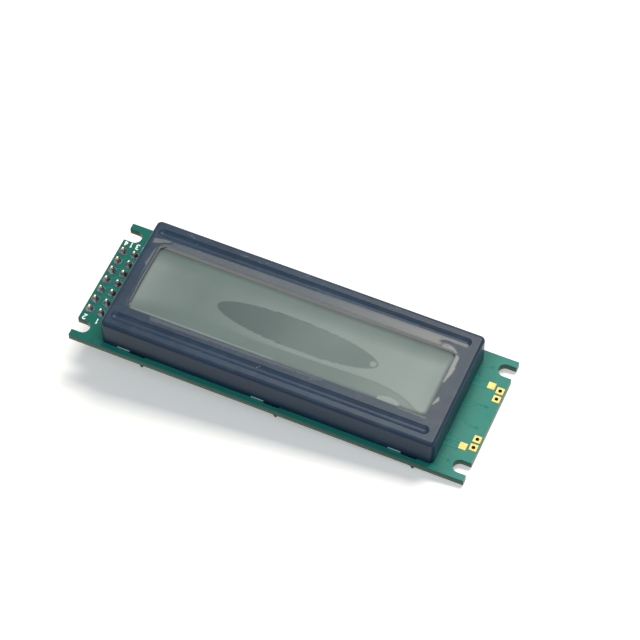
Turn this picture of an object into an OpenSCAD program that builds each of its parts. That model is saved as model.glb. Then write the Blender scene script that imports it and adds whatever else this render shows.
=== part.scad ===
// Character display module, two lines of sixteen, on a slim board.
// A stamped steel bezel holds a glass cell, two rubber contact strips and an
// edge-lit backlight against the front of a circuit board. A double-row pin
// header comes out of the back of the board's left end.
// Frame: the origin is the centre of the board's front face, +X along the
// board away from the header, +Z out of the display towards its viewer.

/* [Circuit board] */
// Length of the board
board_l = 85; // [84:0.5:90]
// Width of the board
board_w = 29.5; // [29.3:0.1:32]
// Thickness of the board
board_t = 1.6; // [1:0.1:2]
// Width of the four open fixing slots
slot_w = 2.9; // [2.2:0.1:3.2]
// Depth of the fixing slots from the end of the board
slot_depth = 3.3; // [2.8:0.1:3.8]
// Width of the prong between a slot and the long edge
prong_w = 1.4; // [1:0.1:2]

/* [Bezel] */
// Distance from each end of the board to the bezel
bezel_end = 6.8; // [6.2:0.1:7.2]
// Distance from each long edge of the board to the bezel
bezel_side = 1.05; // [0.85:0.05:1.3]
// Height of the bezel's face above the board
bezel_h = 6.8; // [6.2:0.1:8]
// Thickness of the steel sheet
sheet_t = 0.5; // [0.3:0.05:0.6]
// Outer radius of the bezel's upright corners
corner_r = 1.1; // [1:0.1:3]
// Outer radius of the bend round the bezel's face
bend_r = 0.8; // [0.7:0.05:0.9]
// Width of the face past each end of the window
face_end = 3.7; // [3:0.1:5]
// Width of the face along each side of the window
face_side = 5.6; // [5.2:0.1:6.4]
// Corner radius of the window
window_r = 1.3; // [0.6:0.1:3]
// How far the window sits from the bezel's centre towards the header
window_shift = 0.35; // [0:0.05:0.6]

/* [Pressed beads] */
// Width of the face past each end of a pressed bead
bead_end = 1.7; // [1.4:0.1:5]
// Width of a bead at the face
bead_w = 2; // [1.4:0.1:2.2]
// Depth of a bead
bead_depth = 0.4; // [0.25:0.05:0.5]
// Distance from the bezel's long wall to a bead's centre line
bead_inset = 2.8; // [2.5:0.1:3]

/* [Twisted tabs] */
// Number of tabs along each long wall
tab_count = 3; // [2:1:4]
// Distance from the bezel's end to the middle of its outer tab and relief
tab_end = 6.5; // [6:0.1:9]
// Width of a tab
tab_w = 3.2; // [2:0.1:3.6]
// Length of a tab below the board
tab_drop = 1.2; // [1:0.1:2.5]
// Angle by which the end of a tab is twisted
tab_twist = 34; // [20:1:60]
// Clearance round a tab in its slot in the board
tab_gap = 0.25; // [0.1:0.05:0.3]
// Width of the relief cut beside a tab
relief_w = 2.9; // [1:0.1:3]
// Height of the relief cut
relief_h = 0.45; // [0.3:0.05:0.8]
// Width of the nick on a tab's other side
nick_w = 0.4; // [0.2:0.05:0.6]

/* [Glass cell] */
// Clearance between the glasses' ends and the bezel
glass_end_gap = 1; // [0.6:0.1:1.4]
// Clearance between the front glass's sides and the bezel
glass_side_gap = 0.7; // [0.4:0.1:0.9]
// Width of the front glass's contact ledges, beyond the rear glass
ledge_w = 3.1; // [2.9:0.1:3.4]
// Thickness of each glass
glass_t = 1.1; // [0.7:0.05:1.2]
// Thickness of each polariser
polariser_t = 0.2; // [0.1:0.05:0.25]
// Margin of a polariser beyond the window
polariser_margin = 0.8; // [0.4:0.1:1]
// Width of the resin plug over the cell's filling port
plug_d = 2; // [1:0.1:2.1]
// Thickness of that plug
plug_t = 0.4; // [0.2:0.05:0.5]

/* [Contact strips] */
// Width of a rubber contact strip
strip_w = 1.8; // [1.4:0.1:2]
// Distance from the glass's end to the end of a contact strip
strip_end = 1.2; // [0.8:0.1:3]
// Pitch of the contact pads under a strip
contact_pitch = 1.5; // [1.2:0.1:2.5]
// Width of one contact pad
contact_w = 0.8; // [0.4:0.1:0.9]

/* [Backlight] */
// Thickness of the diffuser sheet
diffuser_t = 0.15; // [0.1:0.05:0.25]
// Thickness of the white reflector sheet
reflector_t = 0.2; // [0.1:0.05:0.3]
// Clearance of the white frame in the bezel and round what it holds
frame_gap = 0.1; // [0.05:0.05:0.15]
// Thickness of the frame's end walls
end_wall = 1; // [0.8:0.1:1.2]
// Thickness of the lamp strip
lamp_board_t = 0.8; // [0.6:0.1:1]
// Number of lamps on the strip
led_count = 4; // [2:1:5]
// Length of one lamp
led_l = 3; // [1.6:0.1:3.2]
// Depth of one lamp, from the strip to its window
led_d = 1; // [0.6:0.1:1.2]
// Height of one lamp
led_h = 1.4; // [0.8:0.1:1.6]
// Distance between the two leads of the lamp strip
lead_span = 12; // [6:0.5:16]
// Thickness of a lead
lead_size = 0.5; // [0.4:0.05:0.6]
// Clearance between a lead's corners and its plated hole
lead_gap = 0.05; // [0.03:0.01:0.1]
// Length of a lead beyond the back of the board
lead_tip = 1; // [0.7:0.1:1.5]
// Height of the solder round a lead
lead_solder_h = 0.6; // [0.4:0.05:0.8]

/* [Pin header] */
// Number of pins in each row
pin_rows = 7; // [5:1:8]
// Pin pitch
pitch = 2.54; // [2:0.01:2.54]
// Thickness of a square pin
pin_size = 0.64; // [0.5:0.01:0.64]
// Distance from the board's end to the outer row of pins
pin_inset = 1.25; // [1.2:0.05:1.5]
// Height of the header's plastic body
header_h = 2.54; // [1.5:0.01:2.8]
// Length of the pins beyond the body
pin_tail = 6; // [3:0.1:8]
// Length of the pins above the board's front face
pin_tip = 1.4; // [1:0.1:2]
// Radius of the plated holes for pins and leads
hole_r = 0.5; // [0.46:0.01:0.55]
// Radius of the round solder lands
land_r = 0.9; // [0.75:0.05:1]
// Height of a solder cone
solder_h = 1; // [0.5:0.05:1.2]
// Thickness of the copper lands
land_t = 0.05; // [0.03:0.01:0.08]

/* [Backlight terminals] */
// Gap between a terminal's square land and the plain land beside it
land_gap = 0.5; // [0.3:0.05:0.8]
// Distance from the board's end to the wire holes
wire_inset = 1; // [1:0.05:1.2]
// Distance between the two wire holes of a pair
wire_pitch = 2; // [1.8:0.05:2.54]
// Distance from the board's centre line to the middle of a pair
wire_y = 6; // [5.6:0.1:7]
// Radius of a wire hole
wire_hole_r = 0.4; // [0.3:0.05:0.5]
// Side of the square land round a wire hole
wire_land = 1.5; // [1.3:0.05:1.6]

/* [Back of the board] */
// Diameter of the black resin caps over the chips
cap_d = 12.4; // [10:0.2:14]
// Height of a resin cap
cap_h = 1.5; // [1.1:0.1:1.8]
// Side of the bare chips
die_w = 3.4; // [2:0.1:4.4]
// Thickness of the bare chips
die_t = 0.4; // [0.2:0.05:0.5]
// Distance between the two resin caps
cap_span = 27; // [20:0.5:29]
// How far the caps' middle sits from the board's, towards the header
cap_shift = 1; // [0:0.5:4]
// Gap between a resin cap and the parts beside it
chip_gap = 2.2; // [1.2:0.1:3]
// Number of resistors in the row beside the controller
resistor_count = 5; // [3:1:6]
// Distance from the board's middle to the clock resistors
clock_y = 7.6; // [7.2:0.1:9]
// Distance from the board's middle to the filter capacitor
filter_y = 8; // [7.2:0.1:9]
// Distance from the board's middle to the capacitors beside the driver
bias_y = 5.5; // [3:0.1:8]
// Width of the solder against a surface-mount part's end
fillet_w = 0.35; // [0.2:0.05:0.5]
// Length of a surface-mount part
chip_l = 2; // [1.6:0.1:2.2]
// Width of a surface-mount part
chip_w = 1.25; // [0.8:0.05:1.4]
// Height of a chip resistor
resistor_h = 0.5; // [0.35:0.05:0.7]
// Height of a chip capacitor
capacitor_h = 0.8; // [0.5:0.05:1.2]
// Length of a metal end on a surface-mount part
end_cap = 0.4; // [0.2:0.05:0.5]

/* [Protective film] */
// Thickness of the peel-off film
film_t = 0.06; // [0.04:0.01:0.1]
// Distance from the bezel's ends to the film
film_end = 1.6; // [1.4:0.1:2.5]
// Distance between the film's edge and a bead
film_margin = 0.3; // [0.1:0.05:0.6]
// Length of the patch where the film lies on the polariser
touch_l = 34.6; // [20:0.2:44]
// Reach of that patch towards the board's upper edge
touch_up = 3.1; // [1:0.1:5]
// Reach of that patch towards the board's lower edge
touch_down = 3.7; // [1:0.1:5.6]
// How far the patch's middle sits from the board's centre, along X
touch_x = 1.2; // [-6:0.2:6]

/* [Hidden] */
$fn = 48;
eps = 0.01;

// board
board_back = -board_t;
slot_r = slot_w / 2;
slot_seat_x = board_l / 2 - slot_depth + slot_r;
slot_y = board_w / 2 - prong_w - slot_r;

// bezel, inside, window and beads
bezel_l = board_l - 2 * bezel_end;
bezel_w = board_w - 2 * bezel_side;
inner_l = bezel_l - 2 * sheet_t;
inner_w = bezel_w - 2 * sheet_t;
inner_h = bezel_h - sheet_t;
window_l = bezel_l - 2 * face_end;
window_w = bezel_w - 2 * face_side;
window_x = -window_shift;
bead_l = bezel_l - 2 * bead_end;
bead_r = (pow(bead_w / 2, 2) + pow(bead_depth, 2)) / (2 * bead_depth);
bead_y = bezel_w / 2 - bead_inset;
bead_z = bezel_h - bead_depth + bead_r;

// tabs: a relief, then the tab, then a nick, in each long wall
tab_pitch = (bezel_l - 2 * tab_end) / (tab_count - 1);
cut_xs = [for (i = [0 : tab_count - 1]) (i - (tab_count - 1) / 2) * tab_pitch];
relief_dx = -tab_w / 2;
tab_dx = relief_w / 2;
nick_dx = tab_dx + (tab_w + nick_w) / 2;
tab_y = bezel_w / 2 - sheet_t / 2;

// display stack, from the beads down to the board
glass_l = inner_l - 2 * glass_end_gap;
front_glass_w = inner_w - 2 * glass_side_gap;
rear_glass_w = front_glass_w - 2 * ledge_w;
glass_top = bezel_h - bead_depth - sheet_t;
front_glass_z = glass_top - glass_t;
rear_glass_z = front_glass_z - glass_t;
rear_polariser_z = rear_glass_z - polariser_t;
diffuser_z = rear_polariser_z - diffuser_t;
polariser_l = window_l + 2 * polariser_margin;
polariser_w = window_w + 2 * polariser_margin;

// contact strips stand on the ledges' centre lines
ledge_y = (front_glass_w + rear_glass_w) / 4;
strip_l = glass_l - 2 * strip_end;
strip_h = front_glass_z - land_t;
contact_count = floor((strip_l - contact_w) / contact_pitch) + 1;

// backlight
frame_l = inner_l - 2 * frame_gap;
frame_w = inner_w - 2 * frame_gap;
frame_r = corner_r - sheet_t - frame_gap;
rail_h = front_glass_z - frame_gap;
bay_w = rear_glass_w + 2 * frame_gap;
bay_l = frame_l - 2 * end_wall;
bay_end = bay_l / 2;
lamp_board_x = bay_end - frame_gap - lamp_board_t;
guide_end = lamp_board_x - led_d - frame_gap;
guide_start = -bay_end + frame_gap;
guide_h = diffuser_z - reflector_t;
lamp_board_h = guide_h;
led_z = reflector_t + (guide_h - led_h) / 2;
led_pitch = rear_glass_w / led_count;
lead_x = lamp_board_x + lamp_board_t / 2;

// backlight leads
lead_hole_r = lead_size * sqrt(2) / 2 + lead_gap;
lead_solder_r = land_r - 2 * land_t;

// header
pin_xs = [for (i = [0, 1]) -board_l / 2 + pin_inset + i * pitch];
pin_ys = [for (j = [0 : pin_rows - 1]) (j - (pin_rows - 1) / 2) * pitch];
header_z = board_back - header_h;
pin_bottom = header_z - pin_tail;
header_chamfer = pitch / 6;
pin_point = pin_size / 2;

// backlight terminals at the right end
wire_x = board_l / 2 - wire_inset;
wire_ys = [for (side = [-1, 1], k = [-1, 1]) side * wire_y + k * wire_pitch / 2];
trim_land_x = wire_x - wire_land - land_gap;
trim_land_y = wire_y + wire_pitch / 2 + land_gap;

// chips on the back
cap_r = cap_d / 2;
cap_x0 = -cap_shift;
driver_x = cap_x0 - cap_span / 2;
controller_x = cap_x0 + cap_span / 2;
cap_ball = (pow(cap_r, 2) + pow(cap_h, 2)) / (2 * cap_h);
chip_pitch = 2 * chip_w;
resistor_x = controller_x + cap_r + chip_gap + chip_l / 2;
resistor_spots = [for (i = [0 : resistor_count - 1])
    [resistor_x, (i - (resistor_count - 1) / 2) * chip_pitch, 0]];
clock_spots = [for (side = [-1, 1]) [cap_x0 + side * 1.2 * chip_l, clock_y, 0]];
resistor_all = concat(resistor_spots, clock_spots);
capacitor_x = driver_x - cap_r - chip_gap;
capacitor_spots = [[cap_x0, -filter_y, 0], [capacitor_x, bias_y, 90],
    [capacitor_x, -bias_y, 90]];
chip_seat = board_back - land_t;
chip_land_l = end_cap + 1.4 * fillet_w;

// film: a grid of points, flat up to its lip inside the window's edge, then
// dipping onto the polariser
film_l = bezel_l - 2 * film_end;
film_w = 2 * (bead_y - bead_w / 2 - film_margin);
film_dip = bezel_h - glass_top - polariser_t;
lip_w = window_r;
film_nx = 44;
film_ny = 16;
film_row = film_nx + 1;
film_points = film_row * (film_ny + 1);

// colours
steel_black = [0.17, 0.20, 0.25];
mask_green = [0.08, 0.42, 0.34];
gold = [0.90, 0.72, 0.42];
tin = [0.62, 0.62, 0.64];
plastic_black = [0.08, 0.08, 0.09];
resin_black = [0.06, 0.06, 0.07];
frame_white = [0.92, 0.92, 0.90];
cell_grey = [0.52, 0.60, 0.56];
glass_clear = [0.80, 0.88, 0.86, 0.5];
film_clear = [0.85, 0.90, 0.92, 0.3];
rubber_grey = [0.35, 0.36, 0.38];
lamp_yellow = [0.86, 0.80, 0.45];
chip_tan = [0.72, 0.60, 0.46];
silicon = [0.35, 0.36, 0.42];

// ---- shapes used more than once ----

// A plate from z = 0 up with round corners of radius r.
module rounded_plate(l, w, h, r) {
    linear_extrude(h) {
        square([l - 2 * r, w], center = true);
        square([l, w - 2 * r], center = true);
        for (x = [-1, 1], y = [-1, 1])
            translate([x * (l / 2 - r), y * (w / 2 - r)]) circle(r);
    }
}

// The section of a drawn tray: a rectangle of width w and height h, standing
// on the X axis, whose two upper corners are rounded to radius r.
module tray_section(w, h, r) {
    translate([-w / 2, 0]) square([w, h - r]);
    translate([-w / 2 + r, 0]) square([w - 2 * r, h]);
    for (side = [-1, 1]) translate([side * (w / 2 - r), h - r]) circle(r);
}

// The solid of a drawn tray, upside down as the bezel is: upright corners of
// radius cr, and a bend of radius br round its face.
module drawn_block(l, w, h, cr, br) {
    rotate([90, 0, 0])
        linear_extrude(w - 2 * cr, center = true) tray_section(l, h, br);
    rotate([90, 0, 90])
        linear_extrude(l - 2 * cr, center = true) tray_section(w, h, br);
    for (x = [-1, 1], y = [-1, 1])
        translate([x * (l / 2 - cr), y * (w / 2 - cr), 0]) rotate_extrude() {
            square([cr, h - br]);
            square([cr - br, h]);
            intersection() {
                translate([cr - br, h - br]) circle(br);
                square([cr, h]);
            }
        }
}

// A round bar along X, l long, with a ball at each end.
module ball_ended_bar(l, r) {
    rotate([0, 90, 0]) cylinder(l, r, r, center = true);
    for (side = [-1, 1]) translate([side * l / 2, 0, 0]) sphere(r);
}

// Puts children at both beads.
module at_beads() {
    for (side = [-1, 1]) translate([window_x, side * bead_y, bead_z]) children();
}

// Puts children in both long walls at the board's face, dx from the middle of
// each group of relief, tab and nick.
module at_cuts(dx) {
    for (x = cut_xs, side = [-1, 1])
        translate([x + dx, side * tab_y, 0]) children();
}

// Puts children at each header pin.
module at_pins() {
    for (x = pin_xs, y = pin_ys) translate([x, y, 0]) children();
}

// Puts children at each lead of the lamp strip.
module at_leads() {
    for (side = [-1, 1]) translate([lead_x, side * lead_span / 2, 0]) children();
}

// Puts children at each wire hole.
module at_wire_holes() {
    for (y = wire_ys) translate([wire_x, y, 0]) children();
}

// Puts children at each spot in a list of [x, y, turn], on the board's back.
module at_spots(spots) {
    for (s = spots) translate([s[0], s[1], chip_seat]) rotate(s[2]) children();
}

// A square bar standing on z = 0, with pyramid points of height p at both ends.
module pointed_pin(size, h, p) {
    half = size / 2;
    flat = size / 4;
    intersection_for (turn = [0, 90])
        rotate([90, 0, turn]) linear_extrude(size, center = true)
            polygon([[-flat, 0], [flat, 0], [half, p], [half, h - p],
                [flat, h], [-flat, h], [-half, h - p], [-half, p]]);
}

// A collar of solder round a square pin on a land at z = 0: hollow flanks from
// radius r up to the pin at height h, and a plug that fills the plated hole of
// radius hole to the given depth.
module solder_collar(size, r, h, hole, plug) {
    neck = size * 0.72;
    steps = 7;
    flank = [for (i = [0 : steps]) let (t = i / steps)
        [neck + (r - neck) * pow(1 - t, 2.2), h * t]];
    difference() {
        union() {
            rotate_extrude() polygon(concat([[0, 0]], flank, [[0, h]]));
            translate([0, 0, -plug]) cylinder(plug, hole, hole);
        }
        translate([0, 0, -plug - eps]) linear_extrude(plug + h + 2 * eps)
            square(size, center = true);
    }
}

// A flat ring of copper on z = 0.
module land_ring(r, hole) {
    linear_extrude(land_t) difference() {
        circle(r);
        circle(hole);
    }
}

// ---- bezel and film ----

module bezel_shell() {
    difference() {
        drawn_block(bezel_l, bezel_w, bezel_h, corner_r, bend_r);
        translate([0, 0, -eps])
            drawn_block(inner_l, inner_w, inner_h + eps, corner_r - sheet_t,
                bend_r - sheet_t);
    }
    // the undersides of the beads, which press on the glass
    intersection() {
        at_beads() ball_ended_bar(bead_l - bead_w, bead_r + sheet_t);
        translate([-inner_l / 2, -inner_w / 2, inner_h - sheet_t])
            cube([inner_l, inner_w, 1.5 * sheet_t]);
    }
}

// One tab: straight through the board, then twisted to lock behind it.
module twisted_tab() {
    translate([-tab_w / 2, -sheet_t / 2, board_back])
        cube([tab_w, sheet_t, board_t + relief_h]);
    translate([0, 0, board_back]) mirror([0, 0, 1])
        linear_extrude(tab_drop, twist = tab_twist, slices = 8, segments = 0)
            square([tab_w, sheet_t], center = true);
}

module bezel() {
    color(steel_black) {
        difference() {
            bezel_shell();
            at_beads() ball_ended_bar(bead_l - bead_w, bead_r);
            translate([window_x, 0, inner_h - sheet_t])
                rounded_plate(window_l, window_w, 3 * sheet_t, window_r);
            at_cuts(relief_dx) cube([relief_w, 2 * sheet_t, 2 * relief_h], center = true);
            at_cuts(nick_dx) cube([nick_w, 2 * sheet_t, 2 * relief_h], center = true);
            at_cuts(tab_dx) cube([tab_w, 2 * sheet_t, 2 * relief_h], center = true);
        }
        at_cuts(tab_dx) twisted_tab();
    }
}

// How far the film dips at (x, y) from the window's middle: all the way inside
// the touching patch, and nothing at the window's edge.
function film_patch(x, y) =
    let (reach = y > 0 ? touch_up : touch_down)
    norm([(x - window_shift - touch_x) / (touch_l / 2), y / reach]);
function film_edge(x, y) =
    pow(pow(abs(x) / (window_l / 2 - lip_w), 6)
        + pow(abs(y) / (window_w / 2 - lip_w), 6), 1 / 6);
function film_sag(x, y) =
    let (out = max(film_patch(x, y) - 1, 0), room = max(1 - film_edge(x, y), 0))
    room == 0 ? 0
        : let (t = out / (out + 2 * room)) film_dip * (1 - t * t * (3 - 2 * t));

module protective_film() {
    grid = [for (j = [0 : film_ny], i = [0 : film_nx])
        [(i / film_nx - 0.5) * film_l, (j / film_ny - 0.5) * film_w]];
    under = [for (p = grid) [p[0], p[1], -film_sag(p[0], p[1])]];
    upper = [for (p = under) p + [0, 0, film_t]];
    quads = [for (j = [0 : film_ny - 1], i = [0 : film_nx - 1])
        let (a = j * film_row + i) [a, a + 1, a + film_row + 1, a + film_row]];
    front = [for (i = [0 : film_nx]) i];
    right = [for (j = [0 : film_ny]) j * film_row + film_nx];
    back = [for (i = [film_nx : -1 : 0]) film_ny * film_row + i];
    left = [for (j = [film_ny : -1 : 0]) j * film_row];
    rim = [for (run = [front, right, back, left], k = [0 : len(run) - 2])
        [run[k + 1], run[k], run[k] + film_points, run[k + 1] + film_points]];
    bottom_faces = [for (q = quads, f = [[q[0], q[1], q[2]], [q[0], q[2], q[3]]]) f];
    top_faces = [for (f = bottom_faces)
        [f[2] + film_points, f[1] + film_points, f[0] + film_points]];
    color(film_clear) translate([window_x, 0, bezel_h])
        polyhedron(concat(under, upper), concat(bottom_faces, top_faces, rim));
}

// ---- glass cell ----

// A plain rectangular sheet centred on X and Y, from height z up.
module sheet(l, w, t, z) {
    translate([-l / 2, -w / 2, z]) cube([l, w, t]);
}

module front_polariser() {
    color(cell_grey) translate([window_x, 0, 0])
        sheet(polariser_l, polariser_w, polariser_t, glass_top);
}

module front_glass() {
    color(glass_clear) sheet(glass_l, front_glass_w, glass_t, front_glass_z);
}

module rear_glass() {
    color(glass_clear) sheet(glass_l, rear_glass_w, glass_t, rear_glass_z);
}

// A drop of resin over the port, half on the end of each glass.
module fill_port_plug() {
    ball = (pow(plug_d / 2, 2) + pow(plug_t, 2)) / (2 * plug_t);
    color(film_clear) intersection() {
        translate([-glass_l / 2 - plug_t + ball, 0, front_glass_z]) sphere(ball);
        translate([-glass_l / 2 - plug_t - eps, -plug_d, front_glass_z - plug_d])
            cube([plug_t + eps, 2 * plug_d, 2 * plug_d]);
    }
}

module rear_polariser() {
    color(cell_grey) translate([window_x, 0, 0])
        sheet(polariser_l, polariser_w, polariser_t, rear_polariser_z);
}

// ---- backlight ----

module diffuser_sheet() {
    color(frame_white)
        sheet(bay_l - 2 * frame_gap, rear_glass_w, diffuser_t, diffuser_z);
}

module light_guide() {
    color(glass_clear) translate([guide_start, -rear_glass_w / 2, reflector_t])
        cube([guide_end - guide_start, rear_glass_w, guide_h]);
}

module reflector_sheet() {
    color(frame_white) translate([guide_start, -rear_glass_w / 2, 0])
        cube([guide_end - guide_start, rear_glass_w, reflector_t]);
}

// A moulded frame with a bay for the light guide, a slot for each contact
// strip, and lugs that fill the reliefs in the bezel's foot.
module backlight_frame() {
    lug_out = bezel_w / 2 - land_t;
    color(frame_white) {
        difference() {
            rounded_plate(frame_l, frame_w, rail_h, frame_r);
            sheet(bay_l, bay_w, 3 * rail_h, -rail_h);
            sheet(2 * frame_l, bay_w, rail_h, diffuser_z);
            for (side = [-1, 1]) translate([0, side * ledge_y, 0])
                sheet(strip_l + 2 * frame_gap, strip_w + 2 * frame_gap,
                    3 * rail_h, -rail_h);
        }
        for (x = cut_xs, side = [-1, 1])
            translate([x + relief_dx, side * (lug_out + frame_w / 2 - sheet_t) / 2, 0])
                sheet(relief_w - 2 * frame_gap, lug_out - frame_w / 2 + sheet_t,
                    relief_h - frame_gap, 0);
    }
}

module lamp_strip() {
    color(mask_green) translate([lamp_board_x, -rear_glass_w / 2, 0])
        cube([lamp_board_t, rear_glass_w, lamp_board_h]);
}

module leds() {
    color(lamp_yellow) for (i = [0 : led_count - 1])
        translate([lamp_board_x - led_d, (i - (led_count - 1) / 2) * led_pitch, led_z])
            difference() {
                translate([0, -led_l / 2, 0]) cube([led_d, led_l, led_h]);
                translate([-eps, -led_l * 0.35, led_h * 0.2])
                    cube([led_d * 0.3, led_l * 0.7, led_h * 0.6]);
            }
}

module lamp_leads() {
    color(tin) at_leads()
        translate([0, 0, board_back - lead_tip])
            linear_extrude(board_t + lead_tip) square(lead_size, center = true);
}

module lamp_lead_solder() {
    color(tin) at_leads()
        translate([0, 0, board_back - land_t]) mirror([0, 0, 1])
            solder_collar(lead_size, lead_solder_r, lead_solder_h, lead_hole_r,
                board_t + land_t);
}

// ---- contact strips ----

module contact_strip(side) {
    color(rubber_grey) translate([0, side * ledge_y, 0])
        sheet(strip_l, strip_w, strip_h, land_t);
}

module contact_pads() {
    color(gold) for (side = [-1, 1], i = [0 : contact_count - 1])
        translate([(i - (contact_count - 1) / 2) * contact_pitch, side * ledge_y, 0])
            sheet(contact_w, strip_w, land_t, 0);
}

// ---- circuit board ----

// The open slots at both ends of the board, each with a round seat.
module fixing_slots() {
    for (x = [-1, 1], y = [-1, 1])
        translate([x * slot_seat_x, y * slot_y, board_back - eps]) {
            cylinder(board_t + 2 * eps, slot_r, slot_r);
            translate([x > 0 ? 0 : -slot_depth, -slot_r, 0])
                cube([slot_depth, slot_w, board_t + 2 * eps]);
        }
}

// A hole right through the board at the child's place.
module through_hole(r) {
    translate([0, 0, board_back - eps]) cylinder(board_t + 2 * eps, r, r);
}

module circuit_board() {
    color(mask_green) difference() {
        sheet(board_l, board_w, board_t, board_back);
        fixing_slots();
        at_pins() through_hole(hole_r);
        at_leads() through_hole(lead_hole_r);
        at_wire_holes() through_hole(wire_hole_r);
        at_cuts(tab_dx) cube([tab_w + 2 * tab_gap, sheet_t + 2 * tab_gap,
            3 * board_t], center = true);
    }
}

module header_lands() {
    color(gold) at_pins() land_ring(land_r, hole_r);
}

// A square land with a hole at each wire hole, and a plain land beside each pair.
module wire_land_plate() {
    linear_extrude(land_t) difference() {
        square(wire_land, center = true);
        circle(wire_hole_r);
    }
}

module wire_lands() {
    color(gold) {
        at_wire_holes() wire_land_plate();
        for (side = [-1, 1]) translate([trim_land_x, side * trim_land_y, 0])
            sheet(wire_land, wire_land, land_t, 0);
    }
}

// ---- header ----

// One row of joined eight-sided cells for each column of pins.
module header_body() {
    color(plastic_black) translate([0, 0, header_z]) linear_extrude(header_h)
        difference() {
            for (x = pin_xs, y = pin_ys) translate([x, y]) header_cell();
            for (x = pin_xs, y = pin_ys) translate([x, y])
                square(pin_size, center = true);
        }
}

module header_cell() {
    half = pitch / 2;
    cut = half - header_chamfer;
    // the inner halves join across the middle of the body
    polygon([[-half, -cut], [-cut, -half], [cut, -half], [half, -cut],
        [half, cut], [cut, half], [-cut, half], [-half, cut]]);
}

module header_pins() {
    color(gold) at_pins() translate([0, 0, pin_bottom])
        pointed_pin(pin_size, pin_tip - pin_bottom, pin_point);
}

module header_solder() {
    color(tin) at_pins() translate([0, 0, land_t])
        solder_collar(pin_size, land_r - land_t, solder_h, hole_r,
            board_t + land_t);
}

// ---- back of the board ----

// A drop of black resin with the chip's space left in it.
module resin_cap(x) {
    color(resin_black) translate([x, 0, board_back]) difference() {
        mirror([0, 0, 1]) rotate_extrude() intersection() {
            translate([0, cap_h - cap_ball]) circle(cap_ball, $fn = 4 * $fn);
            square([cap_r, cap_h]);
        }
        translate([0, 0, -die_t]) sheet(die_w, die_w, 2 * die_t, 0);
    }
}

module bare_chip(x) {
    color(silicon) translate([x, 0, board_back - die_t])
        sheet(die_w, die_w, die_t, 0);
}

module controller_cap() { resin_cap(controller_x); }
module driver_cap() { resin_cap(driver_x); }
module controller_chip() { bare_chip(controller_x); }
module driver_chip() { bare_chip(driver_x); }

// The part of a surface-mount part between its metal ends, h high.
module chip_middle(h) {
    sheet(chip_l - 2 * end_cap, chip_w, h, -h);
}

module chip_end_pair(h) {
    for (side = [-1, 1]) translate([side * (chip_l - end_cap) / 2, 0, 0])
        sheet(end_cap, chip_w, h, -h);
}

// A hollow wedge of solder against each metal end.
module chip_fillets(h) {
    for (turn = [0, 180]) rotate(turn) translate([chip_l / 2, 0, 0])
        rotate([90, 0, 0]) linear_extrude(chip_w, center = true)
            polygon([[0, 0], [fillet_w, 0], [fillet_w * 0.35, -h * 0.25], [0, -h * 0.7]]);
}

module chip_resistors() {
    color(plastic_black) at_spots(resistor_all) chip_middle(resistor_h);
}

module chip_capacitors() {
    color(chip_tan) at_spots(capacitor_spots) chip_middle(capacitor_h);
}

module chip_ends() {
    color(tin) {
        at_spots(resistor_all) chip_end_pair(resistor_h);
        at_spots(capacitor_spots) chip_end_pair(capacitor_h);
    }
}

module chip_solder() {
    color(tin) {
        at_spots(resistor_all) chip_fillets(resistor_h);
        at_spots(capacitor_spots) chip_fillets(capacitor_h);
    }
}

// Lands under the surface-mount parts, the lamp leads and the wire holes.
module rear_lands() {
    color(gold) {
        at_spots(concat(resistor_all, capacitor_spots))
            for (turn = [0, 180]) rotate(turn)
                translate([chip_l / 2 - end_cap, -chip_w / 2, 0])
                    cube([chip_land_l, chip_w, land_t]);
        translate([0, 0, board_back - land_t]) {
            at_leads() land_ring(land_r, lead_hole_r);
            at_wire_holes() wire_land_plate();
        }
    }
}

// ---- the nodes ----

bezel();
protective_film();
front_polariser();
front_glass();
rear_glass();
fill_port_plug();
rear_polariser();
diffuser_sheet();
light_guide();
reflector_sheet();
backlight_frame();
lamp_strip();
leds();
lamp_leads();
lamp_lead_solder();
contact_strip(-1);  // contact_strip_front
contact_strip(1);  // contact_strip_rear
contact_pads();
circuit_board();
header_lands();
wire_lands();
header_body();
header_pins();
header_solder();
controller_cap();
driver_cap();
controller_chip();
driver_chip();
chip_resistors();
chip_capacitors();
chip_ends();
chip_solder();
rear_lands();
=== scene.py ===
"""Dresses the two-line character display module and sets it on a studio table.

Every length inside the helpers is in millimetres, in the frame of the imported
model: the origin is the centre of the board's front face, +X runs along the
board away from the pin header and +Z comes out of the display.
"""

import math

import bmesh
import bpy
import numpy as np
from mathutils import Matrix, Vector
from mathutils.bvhtree import BVHTree


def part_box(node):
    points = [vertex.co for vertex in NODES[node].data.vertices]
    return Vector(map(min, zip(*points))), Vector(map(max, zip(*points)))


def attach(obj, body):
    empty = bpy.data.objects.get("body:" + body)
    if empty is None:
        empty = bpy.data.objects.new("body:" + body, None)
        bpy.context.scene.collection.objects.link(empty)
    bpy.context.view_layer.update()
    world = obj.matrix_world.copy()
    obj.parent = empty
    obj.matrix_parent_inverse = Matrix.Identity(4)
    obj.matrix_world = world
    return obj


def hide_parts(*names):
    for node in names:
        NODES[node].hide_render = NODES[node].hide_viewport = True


bl_info = {
    "name": "Character display module dresser",
    "version": (1, 0, 0),
    "blender": (4, 5, 0),
    "location": "View3D > Sidebar > Display module",
    "description": "Adds the film, solder, tracks, ink, finishes and studio to the packed display module",
    "category": "Object",
}

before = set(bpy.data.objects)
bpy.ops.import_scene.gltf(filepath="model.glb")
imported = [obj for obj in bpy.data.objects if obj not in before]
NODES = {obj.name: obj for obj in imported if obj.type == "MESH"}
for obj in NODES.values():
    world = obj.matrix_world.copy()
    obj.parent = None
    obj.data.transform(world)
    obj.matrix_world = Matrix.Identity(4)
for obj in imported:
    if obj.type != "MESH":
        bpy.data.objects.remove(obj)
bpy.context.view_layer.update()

MM = 0.001


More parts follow.
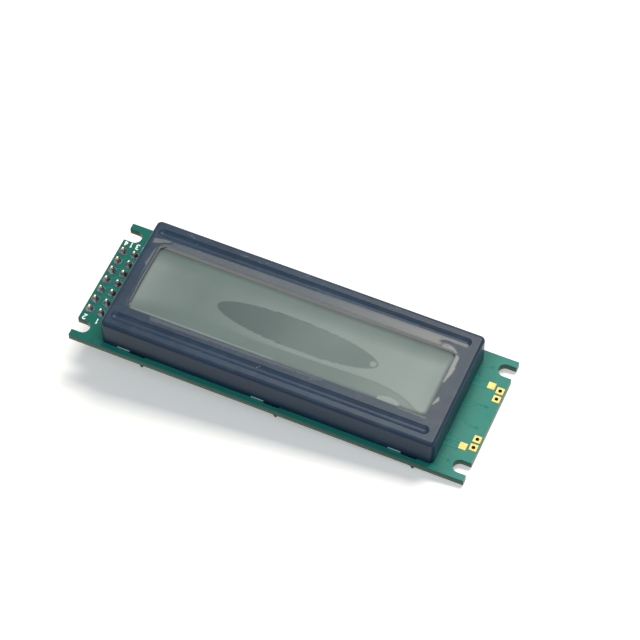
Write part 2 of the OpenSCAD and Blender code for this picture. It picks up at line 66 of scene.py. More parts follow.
def box_mm(node):
    """Lowest and highest corner of a CAD node, in millimetres."""
    low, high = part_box(node)
    return low / MM, high / MM


BOARD_LOW, BOARD_HIGH = box_mm("circuit_board")
BEZEL_LOW, BEZEL_HIGH = box_mm("bezel")
FILM_LOW, FILM_HIGH = box_mm("protective_film")
CELL_LOW, CELL_HIGH = box_mm("front_polariser")
HEADER_HIGH = box_mm("header_body")[1]
PIN_TIP = box_mm("header_pins")[1].z


# ---- settings -------------------------------------------------------------


def colour_setting(name, description, default):
    """A colour in the panel, in linear red, green and blue."""
    return bpy.props.FloatVectorProperty(
        name=name, description=description, default=default, size=3,
        min=0.0, max=1.0, subtype="COLOR")


def number_setting(name, description, default, low, high):
    """A number in the panel, held between low and high."""
    return bpy.props.FloatProperty(
        name=name, description=description, default=default, min=low, max=high)


# lengths are numbers of millimetres
length_setting = number_setting


class DisplayColours(bpy.types.PropertyGroup):
    """Colours of the module's finishes."""

    bezel: colour_setting("Bezel black", "Baked black on the steel bezel", (0.007, 0.022, 0.048))
    bezel_worn: colour_setting(
        "Worn bezel", "Where the black has rubbed thin on an edge", (0.060, 0.078, 0.110))
    mask: colour_setting("Solder mask", "Green lacquer on the board", (0.004, 0.118, 0.098))
    laminate: colour_setting("Laminate", "Cut glass-fibre edge of the board", (0.138, 0.172, 0.098))
    gold: colour_setting("Gold plate", "Thin gold on the bare lands and pins", (0.460, 0.275, 0.090))
    solder: colour_setting("Solder", "Cooled solder", (0.300, 0.322, 0.380))
    cell: colour_setting("Display face", "Grey-green of the unpowered display", (0.098, 0.139, 0.139))
    ink: colour_setting("Board ink", "White ink of the pin numbers", (0.900, 0.920, 0.890))


class FilmSettings(bpy.types.PropertyGroup):
    """Shape of the peel-off film over the window."""

    step: length_setting("Grid step", "Distance between the film's mesh points (mm)", 0.2, 0.1, 1.0)
    patch_x: length_setting("Patch centre X", "Middle of the touching patch (mm)", 1.2, -20.0, 20.0)
    patch_y: length_setting("Patch centre Y", "Middle of the touching patch (mm)", -0.3, -4.0, 4.0)
    patch_l: length_setting("Patch length", "Length of the touching patch (mm)", 34.6, 5.0, 60.0)
    patch_w: length_setting("Patch width", "Width of the touching patch (mm)", 6.8, 1.0, 12.0)
    crease_slope: number_setting("Crease slope", "Steepest slope where the film turns down", 0.105, 0.02, 0.4)
    waviness: length_setting("Waviness", "Height of the film's slow waves (mm)", 0.004, 0.0, 0.2)


class BoardSettings(bpy.types.PropertyGroup):
    """Copper, ink and solder on the board."""

    track_w: length_setting("Track width", "Width of a signal track (mm)", 0.2, 0.1, 1.0)
    track_h: length_setting("Track height", "How far a track lifts the lacquer (mm)", 0.03, 0.005, 0.1)
    via_d: length_setting("Via diameter", "Diameter of a covered via (mm)", 0.7, 0.3, 1.5)
    via_y: length_setting("Via row", "Distance of the via rows from the middle (mm)", 9.6, 5.0, 12.0)
    digit_h: length_setting("Digit height", "Height of the pin numbers (mm)", 1.14, 0.6, 3.0)
    digit_line: length_setting("Digit line", "Width of an ink stroke (mm)", 0.25, 0.1, 0.5)
    solder_lumps: number_setting("Solder lumps", "How uneven the hand-soldered cones are", 0.09, 0.0, 0.3)


class StageSettings(bpy.types.PropertyGroup):
    """Lamps, table and dust."""

    sky: number_setting("Room light", "Strength of the even light of the room", 0.18, 0.0, 2.0)
    panel: number_setting("Panel light", "Brightness of the large overhead panel", 20.0, 0.0, 50.0)
    strip: number_setting("Warm lamp", "Brightness of the warm lamp behind the module", 7.0, 0.0, 80.0)
    fill: number_setting("Front fill", "Brightness of the cool soft light in front", 2.2, 0.0, 20.0)
    table: number_setting("Table lightness", "Share of light that the table gives back", 0.8, 0.1, 0.95)
    specks: bpy.props.IntProperty(
        name="Dust specks", description="Number of loose specks on the front", default=26, min=0, max=400)
    seed: bpy.props.IntProperty(
        name="Seed", description="Seed of the scattered specks, fibres and solder lumps",
        default=11, min=0, max=9999)


def colours():
    """The colours chosen in the panel."""
    return bpy.context.scene.display_colours


def rgba(colour):
    """A colour with alpha, as shader sockets take it."""
    return (colour[0], colour[1], colour[2], 1.0)


def tinted(factor, colour):
    """A colour with each channel times factor."""
    return [factor * channel for channel in colour]


# ---- shader helpers ---------------------------------------------------------


def put(tree, kind, sockets=None, **props):
    """Adds one shader node, sets its properties, then fills or links its sockets."""
    item = tree.nodes.new("ShaderNode" + kind)
    for key, value in props.items():
        setattr(item, key, value)
    for key, value in (sockets or {}).items():
        if isinstance(value, bpy.types.NodeSocket):
            tree.links.new(value, item.inputs[key])
        else:
            item.inputs[key].default_value = value
    return item


def calc(tree, operation, a, b=0.0, clamp=False):
    """One Math node's result."""
    return put(tree, "Math", {0: a, 1: b}, operation=operation, use_clamp=clamp).outputs[0]


def times(tree, a, b, clamp=False):
    """The product of two values."""
    return calc(tree, "MULTIPLY", a, b, clamp)


def part_of(tree, vector, axis):
    """One part of a vector: X, Y or Z."""
    return put(tree, "SeparateXYZ", {0: vector}).outputs[axis]


def seen_first(tree):
    """1 for what the camera sees straight, in a gloss or through glass."""
    path = put(tree, "LightPath")
    return calc(tree, "MAXIMUM", path.outputs["Is Camera Ray"],
                calc(tree, "MAXIMUM", path.outputs["Is Glossy Ray"], path.outputs["Is Transmission Ray"]))


def empty_tree(owner):
    """The cleared node tree of a new material or world."""
    owner.use_nodes = True
    owner.node_tree.nodes.clear()
    return owner.node_tree


def mix_colour(tree, factor, low, high):
    """The colour between low and high at factor."""
    return put(tree, "Mix", {0: factor, 6: low, 7: high}, data_type="RGBA").outputs[2]


def spread(tree, value, low, high, to_low=0.0, to_high=1.0):
    """value taken from low..high to to_low..to_high, and held there."""
    return put(tree, "MapRange", {"Value": value, "From Min": low, "From Max": high,
                                  "To Min": to_low, "To Max": to_high}).outputs["Result"]


def new_group(name, inputs, outputs):
    """An empty node group with named sockets, and its input and output nodes."""
    group = bpy.data.node_groups.new(name, "ShaderNodeTree")
    for label, kind, value in inputs:
        group.interface.new_socket(label, in_out="INPUT", socket_type=kind).default_value = value
    for label, kind in outputs:
        group.interface.new_socket(label, in_out="OUTPUT", socket_type=kind)
    return group, group.nodes.new("NodeGroupInput"), group.nodes.new("NodeGroupOutput")


def place_mm(tree):
    """The point being shaded, in millimetres of the module's frame."""
    spot = put(tree, "TexCoord").outputs["Object"]
    return put(tree, "VectorMath", {0: spot, "Scale": 1.0 / MM}, operation="SCALE").outputs[0]


def build_grain_group():
    """Soft noise of a stated size: lacquer grain, blotches, mottling."""
    group, start, end = new_group("Fine grain", [
        ("Size", "NodeSocketFloat", 1.0), ("Detail", "NodeSocketFloat", 3.0),
        ("Stretch", "NodeSocketVector", (1.0, 1.0, 1.0))], [("Value", "NodeSocketFloat")])
    stretched = {0: place_mm(group), 1: start.outputs["Stretch"]}
    spot = put(group, "VectorMath", stretched, operation="MULTIPLY").outputs[0]
    scale = calc(group, "DIVIDE", 1.0, start.outputs["Size"])
    noise = put(group, "TexNoise", {"Vector": spot, "Scale": scale, "Detail": start.outputs["Detail"]})
    group.links.new(spread(group, noise.outputs[0], 0.28, 0.72), end.inputs["Value"])


def build_wear_group():
    """Where fingers and trays have rubbed the outer edges."""
    group, start, end = new_group("Worn edges", [
        ("Width", "NodeSocketFloat", 0.15), ("Patch", "NodeSocketFloat", 2.0),
        ("Amount", "NodeSocketFloat", 0.5)], [("Mask", "NodeSocketFloat")])
    radius = times(group, start.outputs["Width"], MM)
    soft = put(group, "Bevel", {"Radius": radius}, samples=4).outputs[0]
    flat = put(group, "NewGeometry").outputs["Normal"]
    turn = put(group, "VectorMath", {0: soft, 1: flat}, operation="DOT_PRODUCT").outputs["Value"]
    edge = spread(group, turn, 0.995, 0.86)
    scale = calc(group, "DIVIDE", 1.0, start.outputs["Patch"])
    noise = put(group, "TexNoise", {"Vector": place_mm(group), "Scale": scale, "Detail": 5.0})
    patchy = spread(group, noise.outputs[0], 0.4, 0.62)
    mask = times(group, times(group, edge, patchy), start.outputs["Amount"], clamp=True)
    group.links.new(mask, end.inputs["Mask"])


# Colour of settled and loose dust.
DUST = (0.55, 0.54, 0.50)


def build_dust_group():
    """Fine settled dust: specks on whatever faces out of the display."""
    group, start, end = new_group("Settled dust", [
        ("Size", "NodeSocketFloat", 0.3), ("Amount", "NodeSocketFloat", 0.3)], [("Mask", "NodeSocketFloat")])
    spot = place_mm(group)
    scale = calc(group, "DIVIDE", 1.0, start.outputs["Size"])
    cells = put(group, "TexVoronoi", {"Vector": spot, "Scale": scale}, feature="F1")
    lot = put(group, "SeparateColor", {0: cells.outputs["Color"]}).outputs[0]
    size = times(group, spread(group, lot, 0.72, 1.0), 0.2)
    speck = spread(group, calc(group, "SUBTRACT", cells.outputs["Distance"], size), 0.0, -0.06)
    haze = put(group, "TexNoise", {"Vector": spot, "Scale": 0.4, "Detail": 4.0}).outputs[0]
    both = calc(group, "ADD", speck, spread(group, haze, 0.45, 0.8, 0.0, 0.22))
    up = part_of(group, put(group, "NewGeometry").outputs["Normal"], "Z")
    level = times(group, spread(group, up, 0.2, 0.9), start.outputs["Amount"])
    group.links.new(times(group, both, level, clamp=True), end.inputs["Mask"])


def build_scratch_group():
    """Hair scratches, mostly along the module."""
    group, start, end = new_group("Hair scratches", [
        ("Spacing", "NodeSocketFloat", 3.0), ("Amount", "NodeSocketFloat", 0.3)],
        [("Mask", "NodeSocketFloat")])
    spot = place_mm(group)
    scale = calc(group, "DIVIDE", 1.0, start.outputs["Spacing"])
    total = None
    for angle, stretch in ((0.12, 0.05), (-0.45, 0.07), (1.25, 0.09)):
        turned = put(group, "Mapping", {"Vector": spot, "Rotation": (0.0, 0.0, angle),
                                        "Scale": (stretch, 1.0, 1.0)}).outputs[0]
        noise = put(group, "TexNoise", {"Vector": turned, "Scale": scale, "Detail": 1.0}).outputs[0]
        line = spread(group, calc(group, "ABSOLUTE", calc(group, "SUBTRACT", noise, 0.52)), 0.006, 0.0)
        part = spread(group, put(group, "TexNoise", {"Vector": turned, "Scale": 2.5}).outputs[0], 0.52, 0.66)
        line = times(group, line, part)
        total = line if total is None else calc(group, "MAXIMUM", total, line)
    group.links.new(times(group, total, start.outputs["Amount"], clamp=True), end.inputs["Mask"])


def use_group(tree, name, **values):
    """Places a shared effect in a material with its own values, and gives its first output."""
    return put(tree, "Group", values, node_tree=bpy.data.node_groups[name]).outputs[0]


def make_finish(name, colour, second, blotch=4.0, roughness=0.5, rough_spread=0.08,
                metallic=0.0, coat=0.0, coat_roughness=0.15, ior=1.5, specular=0.5,
                grain=0.15, bump=0.003, stretch=(1.0, 1.0, 1.0), edge=None, edge_width=0.15,
                edge_amount=0.5, dust=0.15, scratches=0.0, transmission=0.0):
    """One finish: mottled colour, worn edges, scratches, dust, uneven gloss and a fine bump."""
    material = bpy.data.materials.new(name)
    tree = empty_tree(material)
    shader = put(tree, "BsdfPrincipled", {
        "Metallic": metallic, "IOR": ior, "Specular IOR Level": specular,
        "Coat Roughness": coat_roughness, "Coat Weight": coat, "Transmission Weight": transmission})
    put(tree, "OutputMaterial", {0: shader.outputs[0]})
    mottle = use_group(tree, "Fine grain", Size=blotch, Detail=5.0)
    base = mix_colour(tree, mottle, rgba(colour), rgba(second))
    if edge is not None:
        worn = use_group(tree, "Worn edges", Width=edge_width, Amount=edge_amount)
        base = mix_colour(tree, worn, base, rgba(edge))
    gloss = spread(tree, mottle, 0.0, 1.0, roughness - rough_spread, roughness + rough_spread)
    if scratches > 0.0:
        hairs = use_group(tree, "Hair scratches", Amount=scratches)
        base = mix_colour(tree, hairs, base, rgba([min(1.0, 2.2 * c + 0.05) for c in colour]))
        gloss = calc(tree, "ADD", gloss, times(tree, hairs, 0.2))
    if dust > 0.0:
        settled = use_group(tree, "Settled dust", Amount=dust)
        base = mix_colour(tree, settled, base, rgba(DUST))
        gloss = calc(tree, "ADD", gloss, times(tree, settled, 0.3), clamp=True)
    tree.links.new(base, shader.inputs["Base Color"])
    tree.links.new(gloss, shader.inputs["Roughness"])
    if bump > 0.0:
        fine = use_group(tree, "Fine grain", Size=grain, Detail=3.0, Stretch=stretch)
        bumped = put(tree, "Bump", {"Height": fine, "Distance": bump * MM, "Strength": 1.0})
        tree.links.new(bumped.outputs[0], shader.inputs["Normal"])
    return material


def principled(material):
    """The material's main shader."""
    return next(n for n in material.node_tree.nodes if n.type == "BSDF_PRINCIPLED")


def relink_colour(material, make):
    """Passes the material's base colour through make(tree, colour socket) -> colour socket."""
    tree = material.node_tree
    socket = principled(material).inputs["Base Color"]
    tree.links.new(make(tree, socket.links[0].from_socket), socket)


def dress(node, material):
    """Gives a CAD node its finish."""
    item = NODES[node]
    if not item.material_slots:
        item.data.materials.append(material)
    for slot in item.material_slots:
        slot.material = material


# ---- mesh helpers -----------------------------------------------------------


def make_piece(name, points, faces, material, smooth=True, replaces=()):
    """A mesh piece from points in millimetres, finished and riding on the module."""
    mesh = bpy.data.meshes.new(name)
    work = bmesh.new()
    corners = [work.verts.new(Vector(p) * MM) for p in points]
    work.verts.ensure_lookup_table()
    for face in faces:
        try:
            work.faces.new([corners[i] for i in face]).smooth = smooth
        except ValueError:
            continue
    work.to_mesh(mesh)
    work.free()
    piece = bpy.data.objects.new(name, mesh)
    bpy.context.scene.collection.objects.link(piece)
    mesh.materials.append(material)
    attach(piece, "root")
    if replaces:
        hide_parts(*replaces)
    return piece


def clusters(node, low_z=None, reach=0.9):
    """Middles (x, y) of the separate bodies of a CAD node, in millimetres."""
    points = np.array([v.co for v in NODES[node].data.vertices]) / MM
    if low_z is not None:
        points = points[points[:, 2] > low_z]
    found = []
    for p in points:
        for group in found:
            if abs(group[0][0] - p[0]) < reach and abs(group[0][1] - p[1]) < reach:
                group.append(p)
                break
        else:
            found.append([p])
    middles = []
    for group in found:
        group = np.array(group)
        middles.append(tuple((group.min(0)[:2] + group.max(0)[:2]) / 2))
    return sorted(middles)


class Heap:
    """Points and faces gathered for one mesh."""

    def __init__(self):
        self.points, self.faces = [], []

    def add(self, points, faces):
        """Adds points, and faces that count from the first of them."""
        base = len(self.points)
        self.points += [tuple(p) for p in points]
        self.faces += [tuple(base + i for i in f) for f in faces]

    def ribbon(self, path, width, seat, height, side=1):
        """A raised band along a flat path; side is +1 on the board's front and -1 on its back."""
        path = [Vector(p).to_2d() for p in path]
        rings = []
        for i, p in enumerate(path):
            before = (p - path[i - 1]).normalized() if i else None
            after = (path[i + 1] - p).normalized() if i + 1 < len(path) else None
            way = (before + after).normalized() if before and after else (before or after)
            across = Vector((-way.y, way.x))
            grow = 1.0
            if before and after:
                grow = 1.0 / max(0.5, across.dot(Vector((-after.y, after.x))))
            foot, top = width / 2 * grow, width / 2 * grow * 0.62
            rings.append([(*(p + across * foot), seat), (*(p + across * top), seat + side * height),
                          (*(p - across * top), seat + side * height), (*(p - across * foot), seat)])
        faces = []
        for i in range(len(rings) - 1):
            for k in range(3):
                quad = (4 * i + k, 4 * i + k + 1, 4 * i + k + 5, 4 * i + k + 4)
                faces.append(quad[::-1] if side > 0 else quad)
        faces += [(0, 1, 2, 3) if side > 0 else (3, 2, 1, 0)]
        last = 4 * (len(rings) - 1)
        faces += [(last + 3, last + 2, last + 1, last) if side > 0 else (last, last + 1, last + 2, last + 3)]
        self.add([p for ring in rings for p in ring], faces)

    def lathe(self, x, y, profile, count=20, wobble=None, side=1):
        """A turned form round an upright axis; profile is (radius, z) from the outside in."""
        rows = []
        for j, (radius, z) in enumerate(profile):
            for i in range(count):
                angle = 2 * math.pi * i / count
                r, dz = radius, 0.0
                if wobble:
                    r, dz = wobble(radius, angle, j / (len(profile) - 1))
                rows.append((x + r * math.cos(angle), y + r * math.sin(angle), z + dz))
        faces = []
        for j in range(len(profile) - 1):
            for i in range(count):
                a, b = j * count + i, j * count + (i + 1) % count
                quad = (a, b, b + count, a + count)
                faces.append(quad if side > 0 else quad[::-1])
        self.add(rows, faces)


def distance_to_line(x, y, line):
    """Distance from grids of points to a bent line."""
    best = np.full(x.shape, 1e9)
    for (ax, ay), (bx, by) in zip(line, line[1:]):
        dx, dy = bx - ax, by - ay
        t = np.clip(((x - ax) * dx + (y - ay) * dy) / (dx * dx + dy * dy + 1e-12), 0, 1)
        best = np.minimum(best, np.hypot(x - ax - t * dx, y - ay - t * dy))
    return best


def inside_outline(x, y, outline):
    """Distance from grids of points to a closed outline, negative inside it."""
    closed = list(outline) + [outline[0]]
    within = np.zeros(x.shape, bool)
    for (ax, ay), (bx, by) in zip(closed, closed[1:]):
        if ay != by:
            within ^= ((ay > y) != (by > y)) & (x < (bx - ax) * (y - ay) / (by - ay) + ax)
    gap = distance_to_line(x, y, closed)
    return np.where(within, -gap, gap)


def smoothstep(value, low, high):
    """0 at low and 1 at high, with soft ends."""
    t = np.clip((value - low) / (high - low), 0, 1)
    return t * t * (3 - 2 * t)


def blur(grid, reach):
    """Softens a grid by a bell of the stated reach, in cells."""
    half = int(3 * reach + 0.5)
    bell = np.exp(-0.5 * (np.arange(-half, half + 1) / reach) ** 2)
    bell /= bell.sum()
    for axis in (0, 1):
        wide = np.pad(grid, [(half, half) if a == axis else (0, 0) for a in (0, 1)], mode="edge")
        grid = np.apply_along_axis(lambda row: np.convolve(row, bell, mode="valid"), axis, wide)
    return grid


def rough_noise(x, y, size, seed):
    """A repeatable mix of waves between about -1 and 1."""
    dice = np.random.default_rng(seed)
    total = np.zeros(x.shape)
    for k in range(9):
        angle, phase = dice.uniform(0, math.tau, 2)
        wave = math.tau / (size * dice.uniform(0.6, 1.9))
        total += np.sin(wave * (x * math.cos(angle) + y * math.sin(angle)) + phase)
    return total / 4.5


# ---- film -------------------------------------------------------------------

# The line along which the film turns down towards the display (millimetres).
CREASE = [(-33.5, -7.2), (-29.0, -5.9), (-25.3, -5.08), (-22.3, -4.6), (-19.1, -4.36), (-15.9, -4.3),
          (-11.4, -4.55), (-6.9, -4.75), (-2.6, -4.8), (1.7, -4.75), (6.0, -4.7), (10.1, -4.55),
          (14.3, -4.42), (18.4, -4.3), (20.7, -4.45), (22.9, -4.75), (25.2, -5.26), (27.8, -6.35),
          (29.5, -7.4), (32.5, -8.0)]


# Where the rim of the film has lifted off the bezel: an outline, how whitish the
# film is there at each of LIFT_X, and how ragged its edge. The paleness that
# rises towards the right end is painted reflection.
LIFT_X = [-34, -28, 0, 16, 24, 33]
LIFTED = [
    ([(-30.5, 9.5), (-30.6, 9.2), (-31.2, 8.85), (-32.2, 8.5), (-32.75, 7.9), (-32.1, 7.85), (-31.4, 8.1),
      (-24.0, 8.2), (28.3, 8.2), (28.3, 8.8), (27.85, 9.05), (28.1, 9.4), (28.6, 9.66), (33.2, 9.62),
      (33.2, 10.5), (26.0, 10.48), (14.0, 10.33), (2.0, 10.18), (-10.0, 10.0), (-16.0, 9.93), (-28.0, 9.6)],
     [0.34, 0.38, 0.45, 0.78, 0.95, 1.0], 0.02),
    ([(-34.5, 9.0), (-34.2, 7.9), (-32.85, 8.3), (-32.2, 8.75), (-31.2, 8.95), (-30.5, 9.25), (-31.0, 9.5),
      (-32.6, 9.45)], [0.7] * 6, 0.03),
    ([(-32.75, 7.9), (-33.05, 6.94), (-33.25, 5.85), (-33.3, 4.4), (-33.6, 2.9), (-33.05, 2.3), (-33.1, 0.6),
      (-33.0, -1.0), (-32.95, -2.8), (-32.8, -4.9), (-32.7, -6.5), (-32.5, -7.6), (-32.05, -7.6),
      (-32.1, 7.75)],
     [0.62] * 6, 0.06),
    ([(28.5, 8.72), (29.3, 8.86), (30.5, 8.78), (31.3, 8.3), (31.95, 7.6), (31.5, 7.55), (31.1, 7.9),
      (28.5, 7.92)],
     [1.2] * 6, 0.03),
    ([(31.9, 7.3), (32.3, 7.2), (32.62, 6.6), (32.66, 5.4), (32.8, 3.7), (32.45, 2.0), (32.0, 0.4),
      (31.8, 0.6)],
     [1.35] * 6, 0.07),
    ([(32.3, -3.0), (32.75, -3.3), (32.7, -3.9), (32.35, -4.6), (32.0, -5.2), (31.85, -5.0), (32.0, -3.9)],
     [1.25] * 6, 0.05),
    ([(-27.1, -8.35), (-26.6, -9.2), (-18.0, -9.1), (-6.0, -8.95), (4.0, -8.75), (10.0, -8.7), (10.0, -8.35)],
     [0.3, 0.34, 0.30, 0.3, 0.3, 0.3], 0.08),
    ([(26.0, -8.35), (26.0, -8.5), (31.9, -8.6), (31.9, -8.35)], [0.8] * 6, 0.02),
]
# Dark lines where the lifted rim comes down on the bezel again.
SEAMS = [
    [(-30.4, 9.35), (-30.9, 8.9), (-31.7, 8.75), (-32.5, 8.35), (-32.75, 7.6), (-32.75, 4.0), (-32.82, -2.0),
     (-32.6, -6.4), (-32.35, -7.45), (-31.6, -7.75)],
    [(-31.3, 7.8), (-31.95, 7.3), (-32.12, 6.7), (-32.16, 2.6), (-32.16, -2.6), (-32.02, -7.0)],
    [(27.9, 9.0), (28.35, 9.5), (29.3, 9.6), (30.4, 9.45)],
]


# How far the film reaches past the CAD film's long sides, how far inside the
# display's edge the window opens, the window's corner radius, the width of the
# fall at its edge, and the film's clearance over the display.
RIM_NEAR, RIM_FAR = 0.2, 0.8
WINDOW_MARGIN = 0.8
WINDOW_CORNER = 1.3
WINDOW_FALL = 0.35
CLEARANCE = 0.02
HIGHEST_FOLD = 0.3
SKIRT = 0.05

# The patch that touches the display: how pointed its ends are, how much it
# leans from end to end, and its far half's share of its near half.
PATCH_POINT = 2.1
PATCH_LEAN = 0.35
PATCH_FAR = 0.98


class DISPLAY_OT_add_film(bpy.types.Operator):
    """Lays the peel-off film over the window, sagging onto the display"""

    bl_idname = "display.add_film"
    bl_label = "Protective film"

    def execute(self, context):
        s = context.scene.display_film
        xs = np.arange(FILM_LOW.x, FILM_HIGH.x + s.step / 2, s.step)
        ys = np.arange(FILM_LOW.y - RIM_NEAR, FILM_HIGH.y + RIM_FAR + s.step / 2, s.step)
        x, y = np.meshgrid(xs, ys)
        top = FILM_HIGH.z
        sag = top - CELL_HIGH.z - CLEARANCE
        left, right = CELL_LOW.x + WINDOW_MARGIN, CELL_HIGH.x - WINDOW_MARGIN
        near, far = CELL_LOW.y + WINDOW_MARGIN, CELL_HIGH.y - WINDOW_MARGIN
        height = self.heights(s, xs, ys, sag, left, right, near, far)
        # how deep a point is inside the window's rounded outline
        qx = np.abs(x - (left + right) / 2) - ((right - left) / 2 - WINDOW_CORNER)
        qy = np.abs(y - (near + far) / 2) - ((far - near) / 2 - WINDOW_CORNER)
        inside = WINDOW_CORNER - np.hypot(np.maximum(qx, 0), np.maximum(qy, 0))
        inside -= np.minimum(np.maximum(qx, qy), 0)
        height *= np.clip(inside / WINDOW_FALL, 0, 1)
        wave = rough_noise(x, y, 7.0, 3) * s.waviness * np.clip(inside, 0, 1)
        touch = smoothstep(self.patch(s, x, y), 1.03, 0.97)
        height += wave * (1 - touch)
        height += self.folds(x, y)
        self.build(x, y, top + np.clip(height, -sag, HIGHEST_FOLD), self.marks(x, y, inside, touch, far))
        return {"FINISHED"}

    def patch(self, s, x, y):
        """1 on the rim of the patch that lies on the display, less inside it."""
        along = (x - s.patch_x) / (s.patch_l / 2)
        middle = s.patch_y - PATCH_LEAN * along
        reach = np.where(y > middle, s.patch_w / 2 * PATCH_FAR, s.patch_w / 2)
        return np.abs(along) ** PATCH_POINT + (np.abs(y - middle) / reach) ** 2

    def heights(self, s, xs, ys, sag, left, right, near, far):
        """Height of the film under its flat rim, one column of the window at a time."""
        wide = np.arange(xs[0] - 12, xs[-1] + 12, s.step)
        line = np.interp(wide, [p[0] for p in CREASE], [p[1] for p in CREASE])
        line = np.interp(xs, wide, blur(np.stack([line, line]), 1.6 / s.step)[0])
        tip_l, tip_r = s.patch_x - s.patch_l / 2, s.patch_x + s.patch_l / 2
        fall = np.maximum((tip_l - xs) / (tip_l - left), 0) ** 1.6
        rise = np.interp(xs, [tip_r, tip_r + 4, right - 6.5, right - 2.2, right], [0, 0.06, 0.2, 0.42, 1])
        depth = sag * np.clip(1 - fall - rise, 0, 1)
        along = (xs - s.patch_x) / (s.patch_l / 2)
        half = np.sqrt(np.clip(1 - np.abs(along) ** PATCH_POINT, 0, 1)) * s.patch_w / 2
        middle = s.patch_y - PATCH_LEAN * np.clip(along, -1.6, 1.6)
        half = blur(np.stack([half, half]), 1.3 / s.step)[0]
        low, high = middle - half, middle + half * PATCH_FAR
        span_a, span_b = low - line, line - near
        slope = np.minimum(s.crease_slope, depth / (span_a / 2 + 0.3 * span_b))
        at_line = -depth + slope * span_a / 2
        edge_slope = np.maximum(2 * -at_line / span_b - slope, 0.01)
        y = ys[:, None]

        def curve(start, stop, h0, m0, h1, m1):
            """A smooth run between two heights with the slopes m0 and m1."""
            span = stop - start
            t = np.clip((y - start) / span, 0, 1)
            return (h0 * (2 * t ** 3 - 3 * t ** 2 + 1) + span * m0 * (t ** 3 - 2 * t ** 2 + t)
                    + h1 * (3 * t ** 2 - 2 * t ** 3) + span * m1 * (t ** 3 - t ** 2))

        height = np.where(y < line, curve(near, line, 0, -edge_slope, at_line, -slope),
                          curve(line, low, at_line, -slope, -depth, 0))
        height = np.where(y > low, -depth + 0 * y, height)
        height = np.where(y > high, curve(high, far, -depth, 0, 0, 2 * depth / (far - high)), height)
        height = np.where((y < near) | (y > far) | (xs < left) | (xs > right), 0, height)
        return blur(height, 0.45 / s.step)

    def folds(self, x, y):
        """Small folds standing up where the film was pressed down unevenly."""
        # each ridge's line, half width and height
        ridges = [
            ([(27.9, 9.5), (27.9, 9.1), (28.4, 8.8), (29.6, 8.75)], 0.22, 0.16),
            ([(29.2, 9.2), (31.0, 9.35), (33.2, 9.4)], 0.3, 0.07),
            ([(-30.9, 9.4), (-30.2, 9.1), (-29.2, 9.05)], 0.22, 0.14),
            ([(-26.9, -8.9), (-20.0, -8.75), (-8.0, -8.6), (6.0, -8.5), (31.7, -8.42)], 0.18, 0.03),
            ([(-32.9, -7.2), (-33.1, 0.0), (-33.5, 6.4)], 0.16, 0.04)]
        total = np.zeros(x.shape)
        for line, reach, lift in ridges:
            total += lift * np.exp(-(distance_to_line(x, y, line) / reach) ** 2)
        return total

    def marks(self, x, y, inside, touch, far):
        """Red: whitish where the rim has lifted, with painted light over the window's shaded edges. Green:
        haze where the film stands off the display, its strength painted reflection and shade. Alpha: dark
        along a seam, and painted shade on the touching patch.
        """
        jag = rough_noise(x, y, 0.9, 5)
        milky_and_painted_light = np.zeros(x.shape)
        for outline, level, ragged in LIFTED:
            edge = inside_outline(x, y, outline) + ragged * jag
            milky_and_painted_light = np.maximum(milky_and_painted_light, np.interp(x, LIFT_X, level) * smoothstep(edge, 0.09, -0.09))
        # painted light: the film is made whitish over the window's far edge and, on the window's left half,
        # within half a millimetre of its edge, where the bezel's inner edge lies in shade
        at_edge = smoothstep(inside, -0.12, 0.02)
        painted_lip_light = at_edge * smoothstep(inside, 0.85, 0.5) * smoothstep(y, far - 1.0, far - 0.5)
        milky_and_painted_light = np.maximum(milky_and_painted_light, painted_lip_light * np.interp(x, [-32, -28, 10, 22, 30], [0.75, 0.8, 0.95, 0.8, 0.7]))
        painted_edge_light = at_edge * smoothstep(inside, 0.5, 0.25) * smoothstep(x, 0, -1)
        milky_and_painted_light = np.maximum(milky_and_painted_light, 0.5 * painted_edge_light)
        seam = np.exp(-(np.minimum.reduce([distance_to_line(x, y, line) for line in SEAMS]) / 0.11) ** 2)
        milky_and_painted_light *= 1 - 0.85 * seam
        # haze where the film stands off the display; its strength is painted reflection and shade: stronger
        # beyond the line where the film turns down, varying along the window and highest at the right end,
        # and fading out towards the window's far edge
        line = np.interp(x, [p[0] for p in CREASE], [p[1] for p in CREASE])
        soften = np.interp(x, [-30, -14, 0], [1.6, 0.8, 0.12])
        painted_sheen_beyond_crease = np.clip(0.5 + 0.5 * (y - line) / soften, 0, 1)
        level = np.interp(x, [-32, -27, -20, -10, 2, 14, 24, 31],
                          [0.60, 0.26, 0.05, 0.22, 0.55, 0.64, 0.84, 0.88])
        lower = np.interp(x, [-30, -10, 10, 20, 28], [0.15, 0.05, 0.25, 0.50, 0.60])
        bubble = smoothstep(np.hypot(x - 17.6, y + 0.7), 0.72, 0.58)
        open_air = smoothstep(inside, 0.0, 0.8) * np.maximum(1 - touch, bubble)
        air_haze_and_painted_sheen = level * open_air * smoothstep(far - y, 1.4, 5.2) * (lower + (1 - lower) * painted_sheen_beyond_crease)
        # painted light: a pale oval by the window's near right corner
        lens = smoothstep(np.hypot((x - 23.7) / 2.4, (y + 7.7) / 1.0), 1.05, 0.9)
        air_haze_and_painted_sheen = np.maximum(air_haze_and_painted_sheen, 0.85 * lens * smoothstep(inside, -0.05, 0.1))
        # painted shade on the touching patch, deepest at its left end and gone towards its right end, and a
        # thin dark line along its rim
        painted_patch_shade = touch * np.interp(x, [-14, -6, 4, 14], [0.42, 0.28, 0.10, 0]) + 0.7 * touch * (1 - touch)
        return np.stack([milky_and_painted_light, air_haze_and_painted_sheen, np.zeros(x.shape), np.maximum(0.45 * seam, painted_patch_shade)], -1)

